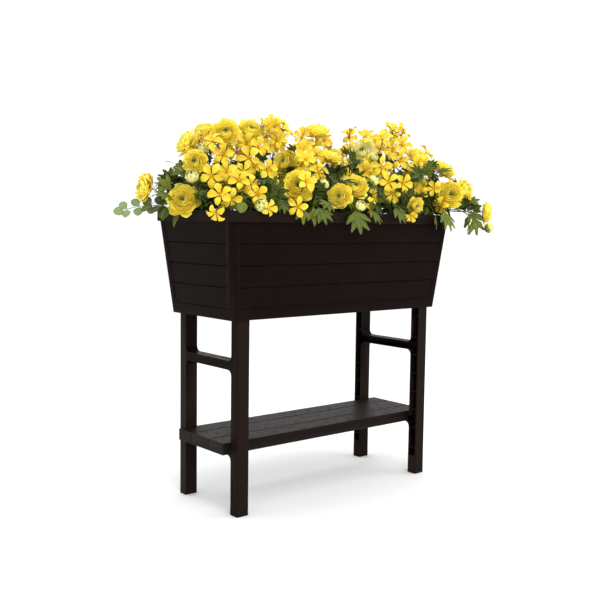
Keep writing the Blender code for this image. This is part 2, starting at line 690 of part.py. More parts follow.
def make_bloom(name, centre, radius, heading, tilt, parts, material):
    """A double bloom: a bulging heart in two whorls of cupped petals."""
    rng = draws("bloom_" + name)
    matrix = placed(Vector(centre), facing(heading, tilt), rng.uniform(0, 6.28))

    def outer(_):
        long, dip = radius * rng.uniform(0.94, 1.04), radius * rng.uniform(-0.06, 0.08)
        return ((long * 0.62, -radius * 0.10 + dip, radius * 0.80),
                (long, radius * 0.10 + dip, radius * 0.46)), None

    def inner(_):
        long, dip = radius * rng.uniform(0.54, 0.62), radius * rng.uniform(-0.03, 0.05)
        return ((long * 0.78, radius * 0.20 + dip, radius * 0.56),
                (long, radius * 0.46 + dip, radius * 0.36)), None

    rings = ((radius * 0.20, -BLOOM_BACK), (radius * 0.25, -BLOOM_BACK * 0.55), (radius * 0.30, 0.0))
    bm = rosette(PETAL_SIDES, rings, ((0.0, outer), (0.25, inner)), radius * 0.32)
    return object_from(bm, "bloom_" + name, parts, material, matrix)


def make_tube(points, radius, collection, taper=1.0):
    """A four-sided stem along the points, made from a bevelled curve and welded."""
    curve = bpy.data.curves.new("stem", "CURVE")
    curve.dimensions = "3D"
    curve.bevel_depth = radius
    curve.bevel_resolution = 0
    curve.use_fill_caps = True
    spline = curve.splines.new("POLY")
    spline.points.add(len(points) - 1)
    for index, point in enumerate(points):
        spline.points[index].co = (*point, 1.0)
        spline.points[index].radius = 1.0 + (taper - 1.0) * index / (len(points) - 1)
    guide = bpy.data.objects.new("stem", curve)
    bm = bmesh.new()
    bm.from_mesh(guide.to_mesh())
    guide.to_mesh_clear()
    bmesh.ops.remove_doubles(bm, verts=bm.verts[:], dist=1e-6)
    bpy.data.objects.remove(guide, do_unlink=True)
    return object_from(bm, "stem", collection)


def world_tree(obj):
    """Search tree over the object's own faces in world space."""
    points = [obj.matrix_world @ vert.co for vert in obj.data.vertices]
    faces = [tuple(face.vertices) for face in obj.data.polygons]
    return BVHTree.FromPolygons(points, faces)


def lift_over_rim(point):
    """Raises a stem's point that would run into the trough's rim."""
    inside = shrink(trough_half(RIM_TOP), TROUGH_WALL + RIM_CLEARANCE)
    if abs(point.x) > inside.x or abs(point.y) > inside.y:
        point.z = max(point.z, RIM_TOP + RIM_CLEARANCE)


class Surroundings:
    """All that stands already, for stems to bend round and leaves to turn clear of."""

    def __init__(self):
        self.balls = []
        self.trees = []

    def add_ball(self, owner, centre, radius):
        self.balls.append((owner, Vector(centre), radius))

    def add_object(self, owner, obj):
        self.trees.append((owner, world_tree(obj)))

    def clear_of(self, obj, owner=None):
        """True where the object crosses nothing but its own plant."""
        tree = world_tree(obj)
        return not any(other.overlap(tree) for name, other in self.trees if name != owner)

    def bend(self, points, skipped, margin):
        """Moves a stem's inner points out of all balls but the skipped, keeping its ends."""
        points = [Vector(point) for point in points]
        for _ in range(60):
            for index in range(1, len(points) - 2):
                for name, centre, radius in self.balls:
                    away = points[index] - centre
                    reach = radius + margin
                    if name not in skipped and 1e-6 < away.length < reach:
                        points[index] += away.normalized() * (reach - away.length) * 0.5
                middle = (points[index - 1] + points[index + 1]) / 2
                points[index] = points[index].lerp(middle, 0.10)
                lift_over_rim(points[index])
        return points


def arc_points(start, start_way, end, end_way, count, reach=0.35):
    """Points on a smooth curve that leaves and arrives along given directions."""
    span = (end - start).length * reach
    a, b, c, d = start, start + start_way * span, end - end_way * span, end
    points = []
    for index in range(count + 1):
        t = index / count
        u = 1 - t
        points.append(a * u**3 + b * 3 * u * u * t + c * 3 * u * t * t + d * t**3)
    return points


def grow_stem(crown, end, end_way, owner, tip, around, repeats, radius=STEM_RADIUS):
    """A stem from the crown to what it carries, bent round all other blooms."""
    start = Vector((crown[0], crown[1], soil_height(*crown) + CROWN_RISE * 0.5))
    lean = Vector((end.x - start.x, end.y - start.y, 0)) * 0.5
    start_way = (lean + Vector((0, 0, max(end.z - start.z, 0.05)))).normalized()
    points = arc_points(start, start_way, end, end_way, STEM_STRETCHES)
    points.insert(-1, end - end_way * 0.012)
    points = around.bend(points, (owner, tip), 0.004)
    for index in range(0, len(points) - 1):
        around.add_ball(owner, points[index].lerp(points[index + 1], 0.5), 0.003)
    return make_tube(points, radius, repeats, 0.8)


def new_crown(name, crown, parts, material):
    level = soil_height(*crown)
    bm = crown_prism(crown, CROWN_RADIUS, level - CROWN_DEPTH, level + CROWN_RISE)
    return object_from(bm, name, parts, material)


def add_bud(centre, radius, way, repeats):
    bm = bmesh.new()
    bmesh.ops.create_icosphere(bm, subdivisions=1, radius=radius)
    object_from(bm, "bud", repeats, matrix=placed(Vector(centre), way))


def try_leaf(crown, base, way, length, kind, owner, around, repeats, rng):
    """Adds a leaf on its stalk where it is clear of the rest."""
    start = Vector((crown[0], crown[1], soil_height(*crown) + CROWN_RISE * 0.5))
    rise = Vector((base.x - start.x, base.y - start.y, 0)) * 0.35 + Vector((0, 0, 0.05))
    points = arc_points(start, rise.normalized(), base, way, 2, 0.4)
    bm = leaf_on_stalk(points, way, length, kind, rng.uniform(-0.3, 0.3))
    leaf = object_from(bm, "leaf", repeats)
    if around.clear_of(leaf, owner):
        around.add_object(owner, leaf)
        return True
    bpy.data.objects.remove(leaf, do_unlink=True)
    return False


def scatter_leaves(crown, count, owner, around, repeats, rng):
    """Leaves round a crown by the golden angle, each drawn again until it is clear."""
    for index in range(count):
        for _ in range(14):
            turn = index * 2.39996 + rng.uniform(-0.5, 0.5)
            reach = rng.uniform(0.025, 0.075)
            rise = rng.uniform(0.03, 0.15)
            base = Vector((crown[0] + reach * math.cos(turn), crown[1] + reach * math.sin(turn),
                           SOIL_TOP + rise))
            way = Vector((math.cos(turn), math.sin(turn), rng.uniform(-0.1, 0.7))).normalized()
            kind = "trident" if index % 3 else "long"
            length = rng.uniform(0.046, 0.062)
            if try_leaf(crown, base, way, length, kind, owner, around, repeats, rng):
                break


def make_sprig(parts, cutters, material, around):
    """A stem with paired round leaves that hangs over the left end of the trough."""
    name, crown, route = SPRIG
    body = new_crown(name, crown, parts, material)
    repeats = new_collection(name + "_repeats", cutters, hidden=True)
    start = Vector((crown[0], crown[1], soil_height(*crown) + CROWN_RISE * 0.5))
    points = [start] + [Vector(point) for point in route]
    make_tube(points, STEM_RADIUS, repeats, 0.6)
    for index in range(2, len(points)):
        way = (points[index] - points[index - 1]).normalized()
        joint = points[index].lerp(points[index - 1], 0.25)
        for side in (-1, 1):
            across = way.cross(Vector((0, 0, 1))).normalized() * side
            aim = (across + way * 0.45 + Vector((0, 0, 0.15))).normalized()
            bm = leaf_on_stalk([joint, joint + aim * 0.004], aim, SPRIG_LEAF, "round", 0.2 * side)
            object_from(bm, "leaf", repeats)
    bm = leaf_on_stalk([points[-1] - way * 0.003, points[-1] + way * 0.002], way, SPRIG_LEAF,
                       "round", 0.0)
    object_from(bm, "leaf", repeats)
    fuse(body, repeats)
    around.add_object(name, body)


def start_stems(around):
    """Every bloom and blossom as a ball that other plants' stems avoid."""
    for name, centre, radius, heading, tilt in BLOOMS:
        around.add_ball("bloom_" + name, Vector(centre) + facing(heading, tilt) * 0.002,
                        radius * 1.02)
    for name, _, blossoms in SPRAYS:
        for centre, radius, heading, tilt in blossoms:
            around.add_ball("spray_" + name, Vector(centre) + facing(heading, tilt) * 0.004, radius)


def make_leafy_stems(plant, parts, cutters, material, around):
    """Crown, flower stems and buds of a leafy plant; its leaves come later."""
    name, crown, carried, buds, _ = plant
    owner = "leafy_" + name
    body = new_crown(owner, crown, parts, material)
    repeats = new_collection(owner + "_repeats", cutters, hidden=True)
    for bloom, centre, _, heading, tilt in BLOOMS:
        if bloom in carried:
            way = facing(heading, tilt)
            end = Vector(centre) - way * (BLOOM_BACK + GAP)
            stem = grow_stem(crown, end, way, owner, "bloom_" + bloom, around, repeats)
            around.add_object(owner, stem)
    for centre, radius in buds:
        centre = Vector(centre)
        way = Vector((centre.x - crown[0], centre.y - crown[1], 0.08)).normalized()
        stem = grow_stem(crown, centre - way * radius * 0.5, way, owner, None, around, repeats,
                         PEDICEL_RADIUS)
        add_bud(centre, radius, way, repeats)
        around.add_object(owner, stem)
        around.add_object(owner, repeats.objects[-1])
    return body, repeats


def make_spray(spray, parts, cutters, material, around):
    """A crown whose stems each carry one small blossom."""
    name, crown, blossoms = spray
    owner = "spray_" + name
    rng = draws(owner)
    body = new_crown(owner, crown, parts, material)
    repeats = new_collection(owner + "_repeats", cutters, hidden=True)
    for centre, radius, heading, tilt in blossoms:
        way = facing(heading, tilt)
        centre = Vector(centre)
        matrix = placed(centre, way, rng.uniform(0, 6.28))

        def petal(_):
            long = radius * rng.uniform(0.92, 1.04)
            return ((long * 0.60, 0.0035, long * 0.60),), (long, 0.006)

        rings = ((0.0026, -0.005), (0.0042, 0.001))
        object_from(rosette(5, rings, ((0.0, petal),), 0.0045), "blossom", repeats, matrix=matrix)
        grow_stem(crown, centre - way * 0.004, way, owner, None, around, repeats, PEDICEL_RADIUS)
    fuse(body, repeats)
    around.add_object(owner, body)
    return body


def build():
    clear_scene()
    parts = new_collection("planted_raised_bed")
    cutters = new_collection("cutters", hidden=True)
    resin = new_material("dark_resin", DARK_RESIN, 0.42)
    shelf_resin = new_material("shelf_resin", SHELF_RESIN, 0.50)
    peat = new_material("peat", PEAT, 0.95)
    petal = new_material("yellow_petal", YELLOW, 0.55)
    blossom = new_material("blossom_spray", YELLOW, 0.55)
    leaf = new_material("leaf_green", GREEN, 0.50)
    sprig_green = new_material("sprig_grey_green", GREY_GREEN, 0.55)

    around = Surroundings()
    around.add_object("trough", make_trough(parts, cutters, resin))
    make_end_frame("end_frame_left", -1, parts, cutters, resin)
    make_end_frame("end_frame_right", 1, parts, cutters, resin)
    make_shelf(parts, cutters, shelf_resin)
    around.add_object("soil", make_soil(parts, cutters, peat))

    start_stems(around)
    for name, centre, radius, heading, tilt in BLOOMS:
        bloom = make_bloom(name, centre, radius, heading, tilt, parts, petal)
        around.add_object("bloom_" + name, bloom)
    make_sprig(parts, cutters, sprig_green, around)
    for spray in SPRAYS:
        make_spray(spray, parts, cutters, blossom, around)
    grown = [(plant, *make_leafy_stems(plant, parts, cutters, leaf, around)) for plant in LEAFY]
    for plant, body, repeats in grown:
        name, crown, _, _, count = plant
        owner = "leafy_" + name
        rng = draws(owner)
        for carrier, base, heading, droop, length, kind in RIM_LEAVES:
            if carrier == name:
                way = facing(heading, 90 + droop)
                try_leaf(crown, Vector(base), way, length, kind, owner, around, repeats, rng)
        scatter_leaves(crown, count, owner, around, repeats, rng)
        fuse(body, repeats)


build()
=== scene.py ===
"""Looks of the planted raised bed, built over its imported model.

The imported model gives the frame: metres, +Z up, the origin on the ground under the middle of
the stand, X along the trough and -Y its front. The resin pieces are copies of their nodes with
rounded edges. Blooms, sprays, leafy plants and the trailing sprig are grown again, petal by
petal and leaf by leaf, at the places that their nodes have.
"""

from __future__ import annotations

import logging
import math
import random
from collections.abc import Callable, Iterable, Sequence
from dataclasses import dataclass, field
from enum import Enum
from functools import lru_cache

import bmesh
import bpy
from mathutils import Matrix, Vector, noise
from mathutils.bvhtree import BVHTree


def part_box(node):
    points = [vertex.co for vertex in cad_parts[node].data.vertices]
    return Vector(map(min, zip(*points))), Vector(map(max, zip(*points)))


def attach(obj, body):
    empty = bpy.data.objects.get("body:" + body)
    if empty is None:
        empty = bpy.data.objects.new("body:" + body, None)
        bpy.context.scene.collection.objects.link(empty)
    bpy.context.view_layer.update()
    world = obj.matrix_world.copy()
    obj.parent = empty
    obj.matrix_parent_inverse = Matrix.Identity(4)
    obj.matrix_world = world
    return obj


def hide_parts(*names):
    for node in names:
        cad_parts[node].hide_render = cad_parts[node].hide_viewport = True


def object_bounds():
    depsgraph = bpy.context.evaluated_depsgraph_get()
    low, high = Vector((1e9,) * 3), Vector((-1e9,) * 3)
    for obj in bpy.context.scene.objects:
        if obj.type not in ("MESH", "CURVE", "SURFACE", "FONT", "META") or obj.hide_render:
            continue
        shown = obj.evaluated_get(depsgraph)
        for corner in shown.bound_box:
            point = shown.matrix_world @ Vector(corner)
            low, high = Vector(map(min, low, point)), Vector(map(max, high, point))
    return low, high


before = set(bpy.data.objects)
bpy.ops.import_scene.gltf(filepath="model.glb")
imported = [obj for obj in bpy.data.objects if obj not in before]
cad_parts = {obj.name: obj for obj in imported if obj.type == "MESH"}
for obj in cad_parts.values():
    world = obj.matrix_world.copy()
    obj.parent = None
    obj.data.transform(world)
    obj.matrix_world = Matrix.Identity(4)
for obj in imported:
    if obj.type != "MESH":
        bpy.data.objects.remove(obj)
CAD_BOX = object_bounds()

LOG = logging.getLogger("raised_bed")
BODY = "root"
SEED = 7

RIM_TOP = 0.762
SOIL_TOP = 0.738
SOIL_SWELL = 0.006
CROWN_RISE = 0.012
BLOOM_BACK = 0.010
BUD_SWELL = 2.1
BUD_CLEAR = 4.6
PETAL_REACH = 1.18
FACE_DEPTH = 0.11
HIGH_LEAVES = 0.885
GAP = 0.0003
RIM_CLEARANCE = 0.012
INSIDE_HALF = Vector((0.3795, 0.1574))
GOLDEN_ANGLE = 2.39996
BladePlace = Callable[[float, float], Vector]


class LeafKind(Enum):
    """Outline of a leaf."""

    LONG = "long"
    ROUND = "round"
    TRIDENT = "trident"
    LOBED = "lobed"


class Role(Enum):
    """What a patch of a plant is."""

    PETAL = 0.0
    GREEN = 1.0


@dataclass(frozen=True)
class BloomSpot:
    """Where a flower stands and how it looks out."""

    name: str
    centre: tuple[float, float, float]
    radius: float
    heading: float
    tilt: float

    @property
    def way(self) -> Vector:
        """Unit direction in which the flower faces."""
        return facing(self.heading, self.tilt)


@dataclass(frozen=True)
class LeafyPlan:
    """A leafy plant: its crown, the blooms it carries, its buds and how many leaves it has."""

    name: str
    crown: tuple[float, float]
    carried: tuple[str, ...]
    buds: tuple[tuple[tuple[float, float, float], float], ...]
    leaves: int


@dataclass(frozen=True)
class RimLeaf:
    """A leaf that shows over the rim."""

    plant: str
    base: tuple[float, float, float]
    heading: float
    droop: float
    length: float
    kind: LeafKind
    turn: float = 0.0


BLOOMS = tuple(BloomSpot(*row) for row in (
    ("top_left", (-0.256, 0.045, 0.966), 0.036, -127, 66),
    ("top_mid_left", (-0.148, 0.085, 0.982), 0.034, -105, 51),
    ("left_high", (-0.363, 0.065, 0.934), 0.034, 161, 58),
    ("back_high", (-0.278, 0.115, 0.974), 0.030, -155, 26),
    ("left_mid", (-0.369, 0.015, 0.884), 0.031, -141, 80),
    ("left_end", (-0.404, 0.018, 0.787), 0.038, -133, 76),
    ("left_far", (-0.442, 0.135, 0.819), 0.036, 166, 79),
    ("front_middle", (-0.150, -0.125, 0.828), 0.040, -130, 77),
    ("mid_behind", (-0.077, 0.018, 0.897), 0.036, -163, 68),
    ("top_flat", (0.076, 0.070, 0.992), 0.040, -73, 3),
    ("mid_flat", (0.057, -0.005, 0.916), 0.037, -66, 17),
    ("pale", (0.244, 0.050, 0.947), 0.037, -152, 63),
    ("front_small", (-0.023, -0.145, 0.806), 0.032, -146, 86),
    ("front_right_of_middle", (0.059, -0.115, 0.833), 0.035, -123, 59),
    ("right_top", (0.410, -0.017, 0.935), 0.038, -84, 35),
    ("right_edge", (0.432, -0.098, 0.896), 0.038, -42, 33),
    ("right_front", (0.398, -0.158, 0.822), 0.039, -124, 85),
    ("right_side", (0.484, -0.139, 0.836), 0.035, -72, 75),
    ("right_far", (0.508, -0.203, 0.772), 0.030, -55, 92),
    ("right_mid", (0.335, -0.090, 0.844), 0.032, -89, 92),
    ("front_low", (0.244, -0.165, 0.788), 0.023, -108, 110),
    ("rear_left", (-0.210, 0.162, 0.862), 0.036, 104, 66),
    ("rear_mid", (0.035, 0.165, 0.850), 0.037, 84, 70),
    ("rear_right", (0.270, 0.160, 0.866), 0.036, 72, 62),
    ("right_rear_end", (0.400, 0.100, 0.850), 0.035, 28, 64),
))

LEAFY = (
    LeafyPlan("left", (-0.335, 0.050),
              ("left_high", "back_high", "left_mid", "left_end", "left_far"),
              (((-0.331, 0.038, 0.917), 0.007), ((-0.402, -0.020, 0.846), 0.008)), 8),
    LeafyPlan("rear_left", (-0.205, 0.095), ("top_left", "top_mid_left", "rear_left"), (), 7),
    LeafyPlan("front_left", (-0.150, -0.095), ("front_middle", "mid_behind"),
              (((-0.303, -0.172, 0.777), 0.008), ((-0.060, -0.122, 0.836), 0.007)), 7),
    LeafyPlan("middle", (0.050, 0.075), ("top_flat", "mid_flat", "rear_mid"), (), 7),
    LeafyPlan("front", (0.030, -0.095), ("front_small", "front_right_of_middle"),
              (((0.104, -0.140, 0.852), 0.007), ((0.022, -0.178, 0.782), 0.007)), 7),
    LeafyPlan("rear_right", (0.235, 0.090), ("pale", "rear_right"),
              (((0.228, -0.015, 0.928), 0.006),), 7),
    LeafyPlan("right", (0.345, 0.000), ("right_top", "right_edge", "right_rear_end"), (), 7),
    LeafyPlan("front_right", (0.320, -0.105),
              ("right_mid", "right_front", "right_side", "right_far", "front_low"),
              (((0.504, -0.222, 0.727), 0.007),), 8),
)

SPRAYS = (
    ("left_front", (-0.315, -0.085), (
        ((-0.380, -0.112, 0.797), 0.029, -130, 72), ((-0.318, -0.100, 0.834), 0.028, -118, 69),
        ((-0.418, -0.150, 0.757), 0.023, -147, 128), ((-0.296, -0.145, 0.802), 0.025, -118, 84))),
    ("left_middle", (-0.262, -0.020), (
        ((-0.232, -0.026, 0.898), 0.029, -130, 74), ((-0.203, -0.062, 0.868), 0.027, -113, 80),
        ((-0.304, -0.014, 0.903), 0.028, -141, 85), ((-0.365, -0.052, 0.848), 0.028, -135, 92))),
    ("upper_left", (-0.140, 0.020), (
        ((-0.178, 0.010, 0.928), 0.027, -113, 69), ((-0.092, 0.040, 0.956), 0.028, -118, 66),
        ((-0.073, 0.066, 1.000), 0.028, -98, 22), ((-0.082, -0.056, 0.920), 0.028, -130, 68))),
    ("front_middle", (-0.065, -0.060), (
        ((-0.040, -0.074, 0.868), 0.027, -97, 74), ((-0.196, -0.180, 0.775), 0.025, -130, 98))),
    ("upper_middle", (0.155, 0.010), (
        ((0.178, 0.040, 0.990), 0.027, -171, 12), ((0.293, 0.092, 1.000), 0.027, -130, 12),
        ((0.302, 0.028, 0.985), 0.028, -136, 60))),
    ("front_centre", (0.180, -0.080), (
        ((0.201, -0.072, 0.894), 0.029, -136, 79), ((0.168, -0.134, 0.850), 0.028, -130, 86),
        ((0.232, -0.124, 0.849), 0.027, -110, 86))),
    ("upper_right", (0.330, 0.075), (
        ((0.356, 0.040, 1.013), 0.030, -117, 28), ((0.320, -0.026, 0.922), 0.028, -118, 80),
        ((0.349, -0.008, 0.970), 0.028, -124, 74), ((0.481, 0.017, 0.953), 0.028, -60, 45))),
    ("rear_centre", (-0.075, 0.115), (
        ((-0.112, 0.160, 0.905), 0.028, 100, 60), ((-0.060, 0.172, 0.856), 0.027, 80, 78),
        ((-0.160, 0.150, 0.935), 0.027, 110, 50))),
    ("rear_right", (0.150, 0.110), (
        ((0.130, 0.160, 0.900), 0.028, 95, 62), ((0.172, 0.170, 0.848), 0.027, 88, 80),
        ((0.190, 0.140, 0.940), 0.027, 75, 48))),
)

# Further blossoms that open on side stems of the nearest spray.
SIDE_BLOSSOMS = (
    ((-0.121, 0.060, 0.996), 0.024, -70, 40),
    ((-0.282, -0.100, 0.827), 0.025, -105, 70), ((-0.326, -0.060, 0.858), 0.025, -140, 75),
    ((-0.359, -0.125, 0.790), 0.023, -120, 100), ((-0.291, -0.178, 0.769), 0.022, -85, 95),
    ((-0.194, -0.065, 0.848), 0.026, -60, 75), ((-0.103, 0.055, 0.999), 0.025, -140, 48),
    ((-0.062, 0.045, 0.988), 0.025, -60, 60), ((-0.163, -0.170, 0.837), 0.027, -110, 75),
    ((0.393, 0.035, 1.010), 0.026, -50, 40), ((0.316, 0.000, 0.952), 0.025, -130, 95),
    ((0.101, -0.030, 0.893), 0.024, -60, 70), ((0.192, -0.010, 0.884), 0.026, -120, 80),
    ((0.353, -0.062, 0.903), 0.026, -125, 70), ((0.411, -0.048, 0.892), 0.022, -70, 60),
    ((0.175, -0.145, 0.820), 0.024, -140, 115), ((0.338, -0.150, 0.837), 0.024, -150, 80),
    ((0.198, -0.192, 0.760), 0.020, -120, 125), ((0.079, -0.150, 0.785), 0.023, -75, 100),
    ((0.117, -0.118, 0.811), 0.023, -70, 80), ((-0.110, -0.105, 0.896), 0.024, -120, 60),
    ((-0.266, -0.045, 0.861), 0.025, -120, 70),
    ((0.311, 0.060, 0.979), 0.026, -140, 70), ((0.368, 0.070, 1.005), 0.027, -100, 55),
    ((0.401, 0.050, 0.987), 0.026, -60, 75), ((0.344, 0.045, 0.968), 0.025, -130, 95),
    ((0.009, 0.030, 0.938), 0.025, -150, 60), ((-0.117, 0.045, 0.936), 0.025, -60, 80),
    ((-0.285, 0.150, 0.900), 0.026, 120, 60), ((-0.262, 0.170, 0.838), 0.025, 105, 80),
    ((0.020, 0.172, 0.905), 0.026, 80, 60), ((-0.010, 0.145, 0.952), 0.026, 70, 45),
    ((0.225, 0.165, 0.918), 0.026, 95, 60), ((0.335, 0.150, 0.872), 0.025, 60, 65),
    ((0.300, 0.140, 0.935), 0.026, 70, 50), ((0.090, 0.140, 0.960), 0.026, 100, 45),
    ((-0.335, 0.160, 0.855), 0.025, 140, 70), ((0.375, 0.150, 0.805), 0.024, 60, 85),
    ((-0.130, 0.182, 0.812), 0.024, 95, 90), ((0.150, 0.182, 0.805), 0.024, 85, 90),
    ((0.462, 0.040, 0.893), 0.025, 10, 60),
    ((0.452, 0.095, 0.812), 0.025, 20, 80),
    ((0.361, -0.058, 0.854), 0.024, -167, 77), ((0.441, -0.039, 0.906), 0.022, -131, 80),
    ((-0.315, 0.078, 0.943), 0.024, -168, 95), ((0.274, 0.090, 0.930), 0.025, -107, 74),
    ((-0.106, 0.025, 0.992), 0.026, -176, 80), ((0.372, -0.027, 0.883), 0.025, -139, 85),
    ((-0.314, 0.038, 0.946), 0.025, -185, 85), ((0.098, 0.095, 0.958), 0.026, -161, 56),
    ((-0.289, 0.001, 0.836), 0.026, -144, 84), ((-0.037, -0.000, 0.890), 0.024, -120, 92),
    ((0.471, -0.062, 0.895), 0.027, -111, 73), ((0.435, -0.008, 0.898), 0.023, -103, 59),
    ((0.362, -0.158, 0.789), 0.024, -169, 94), ((-0.175, 0.030, 0.879), 0.025, -128, 67),
    ((-0.005, 0.118, 0.885), 0.025, -152, 69), ((-0.182, 0.099, 0.924), 0.025, -133, 91),
    ((0.416, 0.078, 1.021), 0.027, -98, 89), ((0.238, 0.007, 0.860), 0.026, -124, 62),
    ((0.009, -0.008, 0.922), 0.025, -95, 91), ((0.136, 0.005, 0.865), 0.026, -120, 63),
    ((-0.074, -0.038, 0.820), 0.022, -134, 66), ((-0.032, 0.045, 0.895), 0.022, -106, 95),
    ((-0.095, 0.001, 0.817), 0.023, -111, 71), ((-0.149, 0.126, 0.963), 0.026, -162, 86),
    ((0.189, 0.100, 0.923), 0.022, -187, 80), ((0.206, 0.076, 0.987), 0.027, -93, 75),
    ((0.228, 0.003, 0.912), 0.025, -160, 58), ((0.241, 0.104, 0.953), 0.022, -130, 61),
    ((-0.302, 0.112, 0.865), 0.027, -104, 68), ((0.253, 0.052, 0.992), 0.024, -101, 70),
    ((-0.230, -0.006, 0.818), 0.027, -135, 80), ((0.255, 0.030, 0.888), 0.026, -140, 72),
    ((0.011, 0.018, 0.887), 0.027, -167, 67), ((0.306, -0.129, 0.825), 0.022, -149, 78),
    ((-0.054, 0.077, 0.950), 0.022, -129, 80), ((-0.320, 0.113, 0.932), 0.026, -156, 83),
    ((-0.018, 0.062, 0.921), 0.025, -189, 57), ((-0.340, 0.096, 0.863), 0.024, -95, 65),
    ((0.150, 0.120, 0.978), 0.026, -137, 83), ((-0.067, 0.120, 0.974), 0.026, -140, 75),
    ((0.220, 0.120, 0.911), 0.025, -140, 76), ((0.173, 0.060, 0.935), 0.027, -169, 68),
    ((0.380, 0.120, 0.969), 0.024, -119, 77), ((-0.013, 0.120, 0.997), 0.024, -107, 84),
    ((0.426, 0.120, 0.906), 0.027, -133, 64), ((0.015, 0.060, 0.973), 0.024, -139, 61),
    ((-0.327, -0.000, 0.935), 0.025, -159, 61), ((-0.177, 0.060, 0.944), 0.026, -145, 81),
    ((0.378, 0.120, 0.891), 0.026, -131, 72), ((0.126, 0.060, 0.918), 0.027, -144, 67),
)

RIM_LEAVES = tuple(RimLeaf(*row[:5], LeafKind(row[5]), *row[6:]) for row in (
    ("left", (-0.402, 0.060, 0.776), -165, 38, 0.060, "long"),
    ("left", (-0.398, 0.000, 0.772), -160, 52, 0.062, "long"),
    ("left", (-0.396, 0.040, 0.770), -175, 62, 0.055, "long"),
    ("front_left", (-0.125, -0.176, 0.776), -95, 48, 0.058, "lobed"),
    ("front", (0.000, -0.178, 0.772), -98, 62, 0.072, "lobed"),
    ("front", (0.052, -0.176, 0.774), -70, 45, 0.055, "lobed"),
    ("front_right", (0.205, -0.178, 0.772), -100, 55, 0.052, "lobed"),
    ("front_right", (0.345, -0.178, 0.774), -85, 58, 0.068, "lobed"),
    ("front_right", (0.425, -0.185, 0.778), -60, 66, 0.062, "lobed"),
    ("front_right", (0.455, -0.190, 0.776), -45, 72, 0.075, "lobed", 1.15),
    ("rear_left", (-0.150, 0.180, 0.776), 96, 42, 0.062, "lobed"),
    ("middle", (0.075, 0.180, 0.774), 84, 48, 0.066, "lobed"),
    ("rear_right", (0.225, 0.180, 0.776), 92, 40, 0.060, "lobed"),
))

